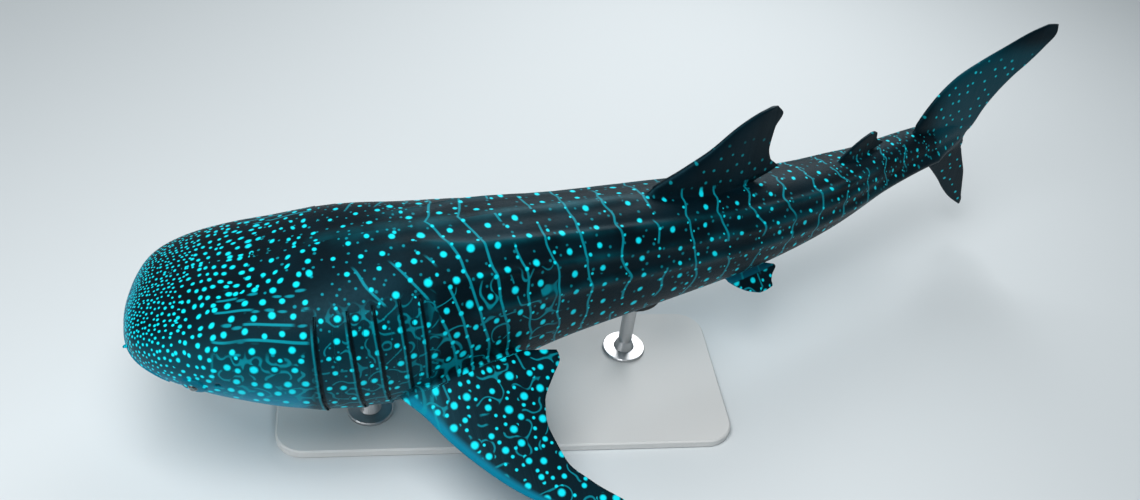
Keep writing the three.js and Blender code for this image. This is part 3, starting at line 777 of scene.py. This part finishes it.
paired_chart = np.zeros((len(points), 3))
paired_zone = np.zeros(len(points))
for side_sign in (1, -1):
    for root, start, end in ((PECTORAL_ROOT, 1050, 2250), (PELVIC_ROOT, 3000, 3600)):
        front = skin(*root[0], side_sign)
        chord = skin(*root[1], side_sign) - front
        chord /= np.linalg.norm(chord)
        mine = (side * side_sign > 0) & (s > start) & (s < end) & (off_body > 0) & (z < 60)
        rel = points - front
        u = rel @ chord
        span = np.linalg.norm(rel - u[:, None] * chord, axis=1)
        edge = u - pectoral_leading(span) if root is PECTORAL_ROOT else u
        paired_chart[mine] = np.stack([u, span, edge], 1)[mine]
        paired_zone[mine] = off_body[mine]
normals = np.empty(len(points) * 3)
body.data.vertices.foreach_get("normal", normals)
facing_up = normals.reshape(-1, 3)[:, 2]
add_attribute(body, "chart", np.stack([s * MM, round_share, z * MM], 1))
add_attribute(body, "steps", steps)
add_attribute(body, "head_grid", np.stack([np.interp(s, table_s, crowd), 1 / head_growth, left_side], 1))
add_attribute(body, "column_grid", np.stack([column_count, per_metre, -per_share / per_metre], 1))
add_attribute(body, "relief", np.stack([ridge_highlight, behind_slit * MM, facing_up], 1))
add_attribute(body, "fin_chart", paired_chart * MM)
add_attribute(body, "zones", np.stack([paired_zone, off_body * (1 - paired_zone), side * MM], 1))
print("charts stored:", len(body.data.attributes), "attributes")

# %% [markdown]
# Every finish below is built from small nodes. Wiring them one by one would take pages,
# so a small helper wires a node in one line and keeps the recipes readable.

# %% A helper that wires nodes
class Recipe:
    """A new material with short ways to add and wire nodes."""

    def __init__(self, name):
        self.material = bpy.data.materials.new(name)
        self.material.use_nodes = True
        self.nodes = self.material.node_tree.nodes
        self.links = self.material.node_tree.links
        self.shader = next(n for n in self.nodes if n.type == "BSDF_PRINCIPLED")

    def put(self, socket, value):
        """Links an output, or sets a plain value, on an input."""
        if isinstance(value, bpy.types.NodeSocket):
            self.links.new(value, socket)
        else:
            socket.default_value = value

    def math(self, operation, *values):
        node = self.nodes.new("ShaderNodeMath")
        node.operation = operation
        for socket, value in zip(node.inputs, values):
            self.put(socket, value)
        return node.outputs[0]

    def chain(self, operation, values):
        total = values[0]
        for value in values[1:]:
            total = self.math(operation, total, value)
        return total

    def add(self, *values):
        return self.chain("ADD", values)

    def times(self, *values):
        return self.chain("MULTIPLY", values)

    def most(self, *values):
        return self.chain("MAXIMUM", values)

    def less(self, first, second):
        return self.math("SUBTRACT", first, second)

    def rest(self, value):
        """What is left of 1."""
        return self.math("SUBTRACT", 1.0, value)

    def step(self, value, start, end):
        """Rises from 0 to 1 between start and end, or falls where start is the larger."""
        node = self.nodes.new("ShaderNodeMapRange")
        node.interpolation_type = "SMOOTHSTEP"
        self.put(node.inputs["Value"], value)
        self.put(node.inputs["From Min"], start)
        self.put(node.inputs["From Max"], end)
        return node.outputs["Result"]

    def band(self, value, low, high, fade):
        """1 between low and high, with a soft fade at both."""
        rising = self.step(value, low - fade, low + fade)
        return self.times(rising, self.step(value, high + fade, high - fade))

    def attribute(self, name):
        node = self.nodes.new("ShaderNodeAttribute")
        node.attribute_name = name
        return self.split(node.outputs["Vector"])

    def split(self, vector):
        node = self.nodes.new("ShaderNodeSeparateXYZ")
        self.put(node.inputs[0], vector)
        return node.outputs[0], node.outputs[1], node.outputs[2]

    def join(self, x, y, z=0.0):
        node = self.nodes.new("ShaderNodeCombineXYZ")
        for socket, value in zip(node.inputs, (x, y, z)):
            self.put(socket, value)
        return node.outputs[0]

    def noise(self, vector, scale=1.0, detail=0.0):
        node = self.nodes.new("ShaderNodeTexNoise")
        self.put(node.inputs["Vector"], vector)
        node.inputs["Scale"].default_value = scale
        node.inputs["Detail"].default_value = detail
        return node.outputs["Fac"]

    def dice(self, x, y, seed):
        """Three random numbers that stay the same all over one cell."""
        node = self.nodes.new("ShaderNodeTexWhiteNoise")
        node.noise_dimensions = "3D"
        self.put(node.inputs["Vector"], self.join(x, y, seed))
        return self.split(node.outputs["Color"])

    def mix(self, amount, first, second):
        node = self.nodes.new("ShaderNodeMix")
        node.data_type = "RGBA"
        self.put(node.inputs[0], amount)
        self.put(node.inputs[6], first)
        self.put(node.inputs[7], second)
        return node.outputs[2]

    def bump(self, height, strength, distance):
        node = self.nodes.new("ShaderNodeBump")
        node.inputs["Strength"].default_value = strength
        node.inputs["Distance"].default_value = distance
        self.put(node.inputs["Height"], height)
        self.put(self.shader.inputs["Normal"], node.outputs[0])


print("node helper ready")

# %% [markdown]
# Spots stand on a loose grid. In each cell a pair of random numbers moves the spot off the middle,
# and a third makes it larger or smaller. Every other row is moved by half a cell.
# A spot belongs to the zone its middle lies in, so no spot is cut through at the edge of a zone.

# %% Marks on the skin
RAGGED = 0.004
SMALLEST = 0.003
FLAT_STEPS = (1.0, 0.0, 1.0)


class Skin(Recipe):
    """The skin's recipe, with the marks of a whale shark."""

    def draw_on(self, s, share, steps, flank):
        """Chooses the chart: two numbers, the real length of a step in them, and a seed for the flank."""
        self.s, self.share, self.flank = s, share, flank
        self.step_s, self.step_skew, self.step_share = steps

    def box(self, along, around, fades):
        """A zone between two places along the body and two shares of the way round it."""
        def zone(s, share):
            return self.times(self.band(s, *along, fades[0]), self.band(share, *around, fades[1]))

        return zone

    def inside(self, along, around, fades):
        """How far the drawn point itself lies inside such a zone."""
        return self.box(along, around, fades)(self.s, self.share)

    def grid_cell(self, a, b, seed, jitter, brick):
        """The offsets from a cell's spot, and a random number of the cell."""
        row = self.math("FLOOR", b)
        if brick:
            a = self.add(a, self.times(self.math("FLOORED_MODULO", row, 2.0), 0.5))
        column = self.math("FLOOR", a)
        red, green, blue = self.dice(column, row, self.add(self.flank, float(seed)))
        da = self.less(self.less(self.less(a, column), 0.5), self.times(self.less(red, 0.5), jitter))
        db = self.less(self.less(self.less(b, row), 0.5), self.times(self.less(green, 0.5), jitter))
        return da, db, blue

    def lucky(self, luck, factor, share):
        """1 in the given share of all cells, by shuffling the cell's random number once more."""
        return self.math("GREATER_THAN", self.math("FRACT", self.times(luck, factor)), 1 - share)

    def spots(self, rates, size, seed, zone=None, jitter=0.5, vary=0.35, cells=None, brick=True, dashes=0.0,
              missing=0.0, lean=0.0):
        """Soft round spots and the clear ground round them; rates are cells per step of the chart."""
        a, b = cells or (self.times(self.s, rates[0]), self.times(self.share, rates[1]))
        da, db, luck = self.grid_cell(a, b, seed, jitter, brick)
        dshare = self.math("DIVIDE", db, rates[1])
        ds = self.add(self.math("DIVIDE", da, rates[0]), self.times(dshare, lean))
        along = self.add(self.times(self.step_s, ds), self.times(self.step_skew, dshare))
        along = self.add(along, self.times(self.ripple, RAGGED))
        over = self.times(self.step_share, dshare)
        if dashes > 0:
            along = self.math("DIVIDE", along, self.add(1.0, self.times(self.lucky(luck, 3.7, dashes), 2.0)))
        away = self.math("SQRT", self.add(self.times(along, along), self.times(over, over)))
        size = self.times(size, self.add(1 - vary / 2, self.times(luck, vary)))
        if missing > 0:
            size = self.times(size, self.lucky(luck, 7.3, 1 - missing))
        if zone is not None:
            size = self.times(size, zone(self.less(self.s, ds), self.less(self.share, dshare)))
        outer, inner = self.add(self.times(size, 1.2), 0.001), self.less(self.times(size, 0.6), 0.001)
        near, far = self.add(self.times(size, 1.3), 0.003), self.add(self.times(size, 1.9), 0.004)
        mark = self.times(self.step(away, outer, inner), self.math("GREATER_THAN", size, SMALLEST))
        return mark, self.step(away, near, far)

    def strokes(self, across, along, width, wander, waves, seed, rate):
        """Thin lines at whole numbers of `across` that wander; rate is metres per line."""
        bend = self.noise(self.join(self.times(across, 0.35), self.times(along, waves), seed * 5.7))
        at = self.add(across, self.times(self.less(bend, 0.5), wander), 0.5)
        off = self.times(self.math("ABSOLUTE", self.less(self.math("FRACT", at), 0.5)), rate)
        return self.step(off, width * 0.7, width * 0.25)

    def worms(self, place, scale, width, seed):
        """Short curly lines, where a soft noise crosses its middle value."""
        x, y, z = [self.times(part, scale) for part in place]
        field = self.noise(self.join(self.add(x, seed * 13.0), y, z))
        return self.step(self.math("ABSOLUTE", self.less(field, 0.5)), width, width * 0.3)


print("spots smaller than", SMALLEST / MM, "mm are left out")

# %% [markdown]
# On the real animal the dots are smallest on the snout and grow towards the gills.
# Near the tip the chart shrinks to a point, so the face gets a plain grid of side and height instead.
# The dots of each stretch are counted in girths, which keeps them round as the head widens.

# %% Marks of the head
FACE_END = 0.034
SNOUT_ROWS = (36, 27, 20)
SNOUT_SIZES = (0.0072, 0.0096, 0.0130)
SNOUT_GROWTH = (1.0, 1.0, 0.45)
SNOUT_STARTS = (FACE_END, 0.30, 0.62)
FACE_ROWS = 40


def head_marks(r, head_place, head_rate, side, height):
    """Small dots on the face, then larger and larger ones towards the gills."""
    marks = []
    warp = [r.times(r.less(r.noise(r.join(r.s, r.share, k), 6.0), 0.5), 1.1) for k in (3.0, 17.0)]

    def stretch(i):
        """The zone of one kind of dot, which ends at the cheek but runs on over the top of the head."""
        def zone(s, share):
            stop = r.add(0.49, r.times(r.step(share, 0.19, 0.14), 0.41))
            if i < 2:
                stop = r.math("MINIMUM", SNOUT_STARTS[i + 1], stop)
            return r.times(r.math("GREATER_THAN", s, SNOUT_STARTS[i]), r.math("LESS_THAN", s, stop))

        return zone

    for i, (rows, size, growth) in enumerate(zip(SNOUT_ROWS, SNOUT_SIZES, SNOUT_GROWTH)):
        cells = (r.add(r.times(head_place, rows), warp[0]), r.add(r.times(r.share, rows), warp[1], 0.5))
        rates = (r.times(head_rate, rows, r.step_s), rows)
        grown = r.times(size, r.add(0.7, r.times(r.s, growth)))
        marks.append(r.spots(rates, grown, 5 + i * 5, stretch(i), 0.55, cells=cells)[0])
    body_chart = (r.s, r.share, (r.step_s, r.step_skew, r.step_share), r.flank)
    r.draw_on(side, height, FLAT_STEPS, 0.0)
    dots, _ = r.spots((FACE_ROWS, FACE_ROWS), 0.0058, 4)
    r.draw_on(*body_chart)
    marks.append(r.times(dots, r.step(r.s, FACE_END + 0.003, FACE_END - 0.003)))
    return marks


print("dots per half girth, snout to gills:", *SNOUT_ROWS)

# %% [markdown]
# On the cheek, rows of spots take turns with lines that run back. The jaw is paler, with close bright spots.
# Between the gill slits there are dots of two sizes and faint curls.
# Each is its own recipe with its own zone, because one rule for all would fit none of them.

# %% Marks of the cheek, gills and nape
CHEEK_ROWS = 20.0


def cheek_marks(r, flat):
    """Rows of spots and lines in turn on the cheek, and close bright spots with curls on the jaw."""
    cheek = r.box((0.50, 0.86), (0.16, 0.40), (0.004, 0.003))
    jaw = r.box((0.50, 0.86), (0.405, 0.62), (0.004, 0.01))
    bend = r.less(r.noise(r.join(r.times(r.s, 3.5), r.times(r.share, 4), r.flank)), 0.5)
    waved = r.times(r.add(r.share, r.times(bend, 0.05)), CHEEK_ROWS)
    spots, _ = r.spots((12.5, CHEEK_ROWS), 0.0145, 21, cheek, 0.35, cells=(r.times(r.s, 12.5), waved))
    row = r.math("ROUND", waved)
    runs = r.step(r.noise(r.join(r.times(r.s, 3.4), r.times(row, 3.7), r.add(r.flank, 4.0))), 0.44, 0.47)
    between = (r.times(r.s, 20), r.add(waved, 0.5))
    dots, _ = r.spots((20, CHEEK_ROWS), 0.0075, 22, cheek, 0.4, cells=between, dashes=0.6, missing=0.1)
    line = r.strokes(waved, r.s, 0.0125, 0.35, 6.0, 3, 0.07)
    line = r.times(line, runs, r.inside((0.47, 0.85), (0.17, 0.40), (0.01, 0.01)))
    bright, clear = r.spots((15, 21), 0.0155, 31, jaw, 0.55, 0.6)
    jaw_zone = r.inside((0.47, 0.86), (0.40, 0.64), (0.02, 0.02))
    curls = r.times(r.worms(flat, 17.0, 0.075, 3.0), clear, jaw_zone)
    return [spots, bright], [r.times(dots, r.rest(r.times(runs, 0.9))), line, r.times(curls, 0.8)]


def gill_marks(r, flat, off_slit, gill_zone):
    """Dots between the slits, with faint curls round them."""
    gills = r.box((0.885, 1.34), (0.285, 0.72), (0.006, 0.01))
    big, clear = r.spots((16, 16), 0.0135, 41, gills, 0.5, 0.5)
    small, _ = r.spots((26, 30), 0.0062, 42, gills, 0.6, 0.5, missing=0.3)
    curls = r.times(r.worms(flat, 15.0, 0.05, 8.0), clear, gill_zone)
    return [r.times(big, off_slit)], [r.times(small, clear, off_slit, 0.9), r.times(curls, off_slit, 0.6)]


def nape_marks(r):
    """Spots of two sizes on the nape; the small ones run down to the tops of the slits."""
    def nape(s, share):
        return r.times(r.band(s, 0.91, 1.22, 0.004), r.math("LESS_THAN", share, 0.17))

    def shoulder(s, share):
        lowest = r.add(0.165, r.times(r.step(s, 0.86, 0.88), 0.11))
        return r.times(r.band(s, 0.56, 1.34, 0.004), r.math("LESS_THAN", share, lowest))

    big, clear = r.spots((8.5, 15), 0.0135, 51, nape, 0.45)
    small, _ = r.spots((17, 30), 0.0068, 52, shoulder, 0.5, missing=0.2)
    return [big], [r.times(small, clear)]


print("cheek rows", round(float(np.interp(650, table_s, half_girth)) / CHEEK_ROWS / MM), "mm apart")

# %% [markdown]
# Behind the gills the pattern turns into columns: spots down the flank, then a beaded line, then spots again.
# The columns lean back over the gills and stand upright further back, as the column chart says.
# The paired fins have spots and curls of their own, which follow the fin and not the body.

# %% Marks of the trunk and fins
TRUNK_ROWS = 10.5


def trunk_marks(r, flat, columns, column_rate, lean, on_body):
    """Columns of spots down the flank, with a beaded line between each two columns."""
    def trunk(s, share):
        above_gills = r.times(r.step(s, 0.87, 0.89), r.band(share, 0.175, 0.28, 0.006))
        back = r.times(r.step(s, 1.22, 1.23), r.step(share, 0.29, 0.28))
        return r.math("MINIMUM", 1.0, r.add(r.step(s, 1.35, 1.36), r.most(above_gills, back)))

    wander = r.times(r.less(r.noise(r.join(r.times(r.s, 1.5), r.times(r.share, 3.0), 2.0)), 0.5), 0.5)
    columns = r.add(columns, wander)
    rows = r.times(r.share, TRUNK_ROWS)
    size = r.less(0.0205, r.times(r.s, 0.0024))
    spots, clear = r.spots(
        (column_rate, TRUNK_ROWS), size, 61, trunk, 0.22, cells=(columns, rows), brick=False, missing=0.08,
        lean=lean,
    )
    line = r.strokes(columns, rows, 0.0130, 0.40, 0.8, 6, r.math("DIVIDE", 1.0, column_rate))
    broken = r.noise(r.join(r.times(r.math("ROUND", columns), 2.7), r.times(r.share, 6.0), r.flank))
    runs = r.step(r.less(broken, r.times(r.s, 0.008)), 0.33, 0.37)
    shoulder = r.times(r.step(r.s, 0.92, 1.0), r.step(r.share, 0.29, 0.27), r.step(r.share, 0.13, 0.16))
    zone = r.times(on_body, r.most(r.step(r.s, 1.34, 1.37), shoulder))
    beads, _ = r.spots(
        (column_rate, TRUNK_ROWS * 2), r.times(size, 0.52), 62, trunk, 0.25, 0.8,
        cells=(r.add(columns, 0.5), r.times(r.share, TRUNK_ROWS * 2)), brick=False, missing=0.15, lean=lean,
    )
    dots, _ = r.spots((11, 23), 0.0075, 63, trunk, 0.6, missing=0.35)
    curl_zone = r.times(r.inside((1.33, 1.95), (0.27, 0.64), (0.05, 0.03)), on_body)
    curls = r.times(r.worms(flat, 8.5, 0.030, 5.0), curl_zone, clear)
    faint = [r.times(line, runs, zone, 0.9), r.times(dots, on_body, clear, 0.7), r.times(curls, 0.8)]
    return [r.times(spots, on_body), r.times(beads, on_body, 0.85)], faint


def fin_marks(r, u, v, height, from_edge, paired, midline_fin):
    """Spots and curls on the paired fins, and small dots on the fins of the midline."""
    s = r.s
    r.draw_on(u, v, FLAT_STEPS, r.flank)
    inside = r.times(r.step(paired, 0.4, 0.7), r.step(from_edge, 0.030, 0.05))
    big, clear = r.spots((10, 10), 0.0165, 71, None, 0.5, 0.5)
    small, _ = r.spots((19, 19), 0.0085, 72, None, 0.6, missing=0.3)
    curls = r.worms((u, v, 0.0), 10.0, 0.036, 7.0)
    some = r.step(r.noise(r.join(r.times(u, 6), r.times(v, 6), 3.0)), 0.46, 0.50)
    r.draw_on(s, height, FLAT_STEPS, 0.0)
    dots, _ = r.spots((13, 15), 0.0085, 81, None, 0.6, missing=0.2)
    tail = r.times(r.step(s, 4.7, 4.8), midline_fin)
    dots = r.times(dots, midline_fin, r.add(0.3, r.times(tail, 0.5)), r.step(height, 0.62, 0.5))
    curls = r.times(curls, inside, clear, some, 0.8)
    return [r.times(big, inside), r.times(small, clear, inside), dots], [curls]


print("columns of spots", int(column_count.max() - column_count.min()), "from snout to tail")

# %% [markdown]
# Dark blue-green skin carries the pale marks. It is lighter on the jaw and pale on the belly.
# The pattern is worked out in the material, so its edges stay sharp however close one looks.
# Wet shark skin shines softly, so the sheen is weak and tinted blue, and a fine bump breaks it up. On top of
# that, painted highlights run along the ridge crests and the edges of the gill flaps, the upper tail lobe is
# painted lighter as if lit from above, and the slits get painted shade.

# %% The skin
DEEP = (0.0, 0.0016, 0.0036, 1)
DARK = (0.0, 0.006, 0.011, 1)
TEAL = (0.0, 0.055, 0.080, 1)
LINE = (0.0, 0.25, 0.32, 1)
SPOT = (0.002, 0.70, 0.84, 1)
PALE = (0.0, 0.22, 0.36, 1)
BELLY = (0.10, 0.45, 0.55, 1)
# The near-black below is painted shade for the gill slits.
SLIT_SHADE = (0.0, 0.0008, 0.0015, 1)
SHEEN = (0.25, 0.75, 1.0, 1)


def ground_colour(r, height, zones, gill_glow, crest, mottle, under, leading_band):
    """The skin between the marks, with a painted highlight along the ridge crests and painted light on the
    upper tail lobe.
    """
    s, share = r.s, r.share
    on_body, midline_fin, behind_face = zones
    ground = r.mix(r.step(mottle, 0.35, 0.7), DEEP, DARK)
    cheek_glow = r.times(r.step(s, 0.9, 0.8), r.step(share, 0.30, 0.52), 0.95)
    ground = r.mix(r.most(gill_glow, cheek_glow), ground, TEAL)
    # Painted light: the upper lobe of the tail is made lighter teal, as if it faced the light from above.
    lit_upper_lobe = r.times(r.step(height, -0.1, 0.1), r.step(height, 0.70, 0.55))
    ground = r.mix(r.times(midline_fin, r.step(s, 4.7, 4.9), lit_upper_lobe, 0.7), ground, TEAL)
    # Painted highlight: the ground turns lighter along the ridge crests, as wet skin shines there.
    ground = r.mix(r.times(crest, 0.012, r.step(mottle, 0.3, 0.7), r.step(s, 4.5, 4.2)), ground, LINE)
    jaw_edge = r.times(r.step(s, 0.87, 0.8), r.step(share, 0.48, 0.64))
    low = r.times(r.most(r.times(r.step(share, 0.70, 0.86), behind_face), jaw_edge), on_body)
    rim = r.times(r.step(s, 0.10, 0.0), 0.6)
    ground = r.mix(r.most(low, rim), ground, PALE)
    ground = r.mix(r.times(r.step(share, 0.80, 0.95), on_body, behind_face), ground, BELLY)
    return r.mix(r.most(under, leading_band), ground, PALE)


def skin_material():
    """Marks over ground, painted shade in the slits, a painted highlight on the flap edges, and a soft sheen.
    """
    r = Skin("shark_skin")
    s, share, height = r.attribute("chart")
    steps = r.attribute("steps")
    head_place, head_rate, is_left = r.attribute("head_grid")
    columns, column_rate, column_lean = r.attribute("column_grid")
    # crest carries the painted highlight along the ridges.
    crest, behind_slit, facing_up = r.attribute("relief")
    u, v, from_edge = r.attribute("fin_chart")
    paired, midline_fin, side = r.attribute("zones")
    left = r.math("ROUND", is_left)
    r.draw_on(s, share, steps, r.times(left, 41.0))
    on_body = r.times(r.step(paired, 0.6, 0.3), r.step(midline_fin, 0.6, 0.2))
    flat = (s, r.times(share, 1.3), r.times(left, 3.0))
    skin_place = r.join(*flat)
    mottle = r.noise(skin_place, 4.0, 4.0)
    fine = r.noise(skin_place, 55.0, 2.0)
    r.ripple = r.less(fine, 0.5)
    off_slit = r.step(r.math("ABSOLUTE", behind_slit), 0.004, 0.012)
    gill_zone = r.inside((0.87, 1.34), (0.27, 0.78), (0.01, 0.03))
    # The teal ground stops short of each slit, which leaves painted shade along it.
    gill_glow = r.times(gill_zone, r.add(0.2, r.times(r.step(share, 0.35, 0.7), 0.45)), off_slit)
    behind_face = r.step(s, 0.03, 0.12)
    under = r.times(paired, r.step(facing_up, -0.1, -0.5))
    leading_band = r.times(paired, r.step(from_edge, 0.055, 0.015), 0.7)
    zones = (on_body, midline_fin, behind_face)
    ground = ground_colour(r, height, zones, gill_glow, crest, mottle, under, leading_band)

    marks = head_marks(r, head_place, head_rate, side, height)
    lines = []
    for bright, faint in (
        cheek_marks(r, flat),
        gill_marks(r, flat, off_slit, gill_zone),
        nape_marks(r),
        trunk_marks(r, flat, columns, column_rate, column_lean, on_body),
        fin_marks(r, u, v, height, from_edge, paired, midline_fin),
    ):
        marks += bright
        lines += faint
    keep = r.times(r.rest(under), r.rest(r.times(r.step(share, 0.80, 0.88), on_body, behind_face)))
    colour = r.mix(r.times(r.most(*lines), keep, 0.85), ground, LINE)
    colour = r.mix(r.times(r.most(*marks), keep), colour, SPOT)
    # Painted shade: a near-black line along each gill slit, where the fold lies in shadow.
    slit_shade = r.times(r.step(behind_slit, 0.010, 0.003), r.step(behind_slit, -0.008, -0.002))
    colour = r.mix(slit_shade, colour, SLIT_SHADE)
    # Painted highlight: a lighter line along the raised edge of each gill flap, just in front of its slit.
    flap_edge_highlight = r.times(r.band(behind_slit, -0.016, -0.009, 0.003), r.band(share, 0.32, 0.72, 0.03), 0.55)
    r.put(r.shader.inputs["Base Color"], r.mix(flap_edge_highlight, colour, LINE))
    r.put(r.shader.inputs["Roughness"], r.add(0.40, r.times(fine, 0.18)))
    r.shader.inputs["Specular IOR Level"].default_value = 0.22
    r.shader.inputs["Specular Tint"].default_value = SHEEN
    r.bump(r.add(r.noise(skin_place, 260.0, 3.0), r.times(fine, 0.8)), 0.22, 0.004)
    return r.material


body.data.materials.clear()
body.data.materials.append(skin_material())
FLESH = [
    "head", "gills", "trunk_front", "trunk_middle", "trunk_rear", "tail_stock", "dorsal_fin_first",
    "dorsal_fin_second", "anal_fin", "caudal_fin_upper", "caudal_fin_lower", "pectoral_fin_left",
    "pectoral_fin_right", "pelvic_fin_left", "pelvic_fin_right",
]
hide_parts(*FLESH)
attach(body, "root")
print("skin dressed with", len(body.data.materials[0].node_tree.nodes), "nodes")

# %% [markdown]
# The eye is small, with a dark iris and a round pupil, and sits in a soft ring of skin.
# A glossy ball with a clear coat catches one highlight, which makes it look alive.

# %% Eyes
def eye_material():
    r = Recipe("eye_surface")
    x, y, outward = r.attribute("eye_chart")
    off_axis = r.math("SQRT", r.add(r.times(x, x), r.times(y, y)))
    rays = r.noise(r.join(x, y, 0.0), 420.0, 2.0)
    iris = r.mix(rays, (0.02, 0.05, 0.06, 1), (0.10, 0.16, 0.17, 1))
    colour = r.mix(r.step(off_axis, 0.0145, 0.0170), iris, (0.006, 0.012, 0.015, 1))
    colour = r.mix(r.step(off_axis, 0.0075, 0.0065), colour, (0.0008, 0.001, 0.0012, 1))
    r.put(r.shader.inputs["Base Color"], colour)
    r.shader.inputs["Roughness"].default_value = 0.06
    r.shader.inputs["Coat Weight"].default_value = 1.0
    r.shader.inputs["Coat Roughness"].default_value = 0.02
    return r.material


eye_finish = eye_material()
for side, word in ((1, "left"), (-1, "right")):
    centre, along, around, out = eye_places[side]
    eye = ball("eyeball_" + word, centre, (EYE["radius"],) * 3, (along, around, out), 48)
    local = (vertex_points(eye) - centre) @ np.array([along, around, out]).T
    add_attribute(eye, "eye_chart", local * MM)
    eye.data.materials.append(eye_finish)
    for polygon in eye.data.polygons:
        polygon.use_smooth = True
    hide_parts("eye_" + word)
    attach(eye, "root")
print("eyes set", EYE["radius"] * 2, "mm across")

# %% [markdown]
# The stand keeps its solids from the CAD step; only the finishes are made here.
# A satin painted base, brushed steel posts and dark rubber saddles stay quiet under the animal.

# %% Stand finishes
def base_material():
    r = Recipe("satin_paint")
    where = r.nodes.new("ShaderNodeTexCoord").outputs["Object"]
    speckle = r.noise(where, 260.0, 3.0)
    r.put(r.shader.inputs["Base Color"], r.mix(speckle, (0.55, 0.56, 0.56, 1), (0.66, 0.66, 0.65, 1)))
    r.put(r.shader.inputs["Roughness"], r.add(0.45, r.times(r.noise(where, 6.0, 3.0), 0.2)))
    r.bump(speckle, 0.15, 0.001)
    return r.material


def steel_material():
    r = Recipe("brushed_steel")
    x, y, z = r.split(r.nodes.new("ShaderNodeTexCoord").outputs["Object"])
    rings = r.noise(r.join(r.times(x, 3), r.times(y, 3), r.times(z, 420)), 1.0, 3.0)
    r.put(r.shader.inputs["Base Color"], r.mix(rings, (0.42, 0.43, 0.44, 1), (0.56, 0.57, 0.58, 1)))
    r.shader.inputs["Metallic"].default_value = 1.0
    r.put(r.shader.inputs["Roughness"], r.add(0.26, r.times(rings, 0.16)))
    return r.material


def rubber_material():
    r = Recipe("matte_rubber")
    where = r.nodes.new("ShaderNodeTexCoord").outputs["Object"]
    grain = r.noise(where, 480.0, 4.0)
    r.put(r.shader.inputs["Base Color"], r.mix(grain, (0.012, 0.013, 0.014, 1), (0.035, 0.037, 0.039, 1)))
    r.shader.inputs["Roughness"].default_value = 0.8
    r.bump(grain, 0.3, 0.001)
    return r.material


def dress(node, finish):
    """Gives a carried-over node a better finish."""
    obj = bpy.data.objects[node]
    obj.data.materials.clear()
    obj.data.materials.append(finish)


paint, steel, rubber = base_material(), steel_material(), rubber_material()
dress("stand_base", paint)
for end in ("front", "rear"):
    dress("stand_rod_" + end, steel)
    dress("stand_saddle_" + end, rubber)
print("stand finishes:", paint.name, steel.name, rubber.name)

# %% [markdown]
# The photograph looks down on the animal from ahead of its flank, with a slight roll.
# The camera's place and angles are worked out from where the snout, fins and tail fall in it.

# %% Camera
PHOTO = (1140, 500)
camera_data = bpy.data.cameras.new("camera")
camera = bpy.data.objects.new("camera", camera_data)
bpy.context.scene.collection.objects.link(camera)
bpy.context.scene.camera = camera
CAMERA_AT = (-0.7441, -4.6355, 4.8223)
CAMERA_AZIMUTH = 12.34
CAMERA_DOWN = 39.19
CAMERA_ROLL = 7.86
FOCAL_PIXELS = 1215
camera_data.sensor_width = 36
camera_data.lens = FOCAL_PIXELS / PHOTO[0] * 36
azimuth, down, roll = map(math.radians, (CAMERA_AZIMUTH, CAMERA_DOWN, CAMERA_ROLL))
forward = Vector((
    math.cos(down) * math.sin(azimuth), math.cos(down) * math.cos(azimuth), -math.sin(down),
))
right = Vector((math.cos(azimuth), -math.sin(azimuth), 0))
up = right.cross(forward)
camera_right = right * math.cos(roll) + up * math.sin(roll)
camera_up = up * math.cos(roll) - right * math.sin(roll)
camera.matrix_world = Matrix((
    (camera_right.x, camera_up.x, -forward.x, CAMERA_AT[0]),
    (camera_right.y, camera_up.y, -forward.y, CAMERA_AT[1]),
    (camera_right.z, camera_up.z, -forward.z, CAMERA_AT[2]),
    (0, 0, 0, 1),
))
print("lens", round(camera_data.lens, 2), "mm")

# %% [markdown]
# A pale floor and large soft lamps show the shape without hard shadows.
# The main lamp stands high over the back, as daylight does over a swimming animal.

# %% Floor and light
bpy.ops.mesh.primitive_plane_add(size=60)
floor = bpy.context.object
floor.name = "floor"
floor_recipe = Recipe("floor_paint")
floor_recipe.shader.inputs["Base Color"].default_value = (0.62, 0.66, 0.68, 1)
floor_recipe.shader.inputs["Roughness"].default_value = 0.85
floor.data.materials.append(floor_recipe.material)


def soft_lamp(name, at, target, size, power, colour=(1, 1, 1)):
    """A square soft lamp that looks at a point."""
    lamp = bpy.data.lights.new(name, "AREA")
    lamp.size = size
    lamp.energy = power
    lamp.color = colour
    obj = bpy.data.objects.new(name, lamp)
    bpy.context.scene.collection.objects.link(obj)
    obj.location = at
    obj.rotation_euler = (Vector(target) - Vector(at)).to_track_quat("-Z", "Y").to_euler()


soft_lamp("key", (-1.5, -2.5, 6.5), (0.3, 0, 0.8), 4.0, 430)
soft_lamp("back", (2.5, 5.0, 5.0), (0.5, 0, 0.8), 4.0, 260)
soft_lamp("fill", (-5.5, -4.5, 2.5), (-0.5, 0, 0.8), 3.5, 110)
bpy.context.scene.view_settings.view_transform = "Standard"
world = bpy.data.worlds.new("world")
bpy.context.scene.world = world
world.use_nodes = True
world.node_tree.nodes["Background"].inputs["Color"].default_value = (0.78, 0.86, 0.9, 1)
world.node_tree.nodes["Background"].inputs["Strength"].default_value = 0.32

print("lamps", len(bpy.data.lights))
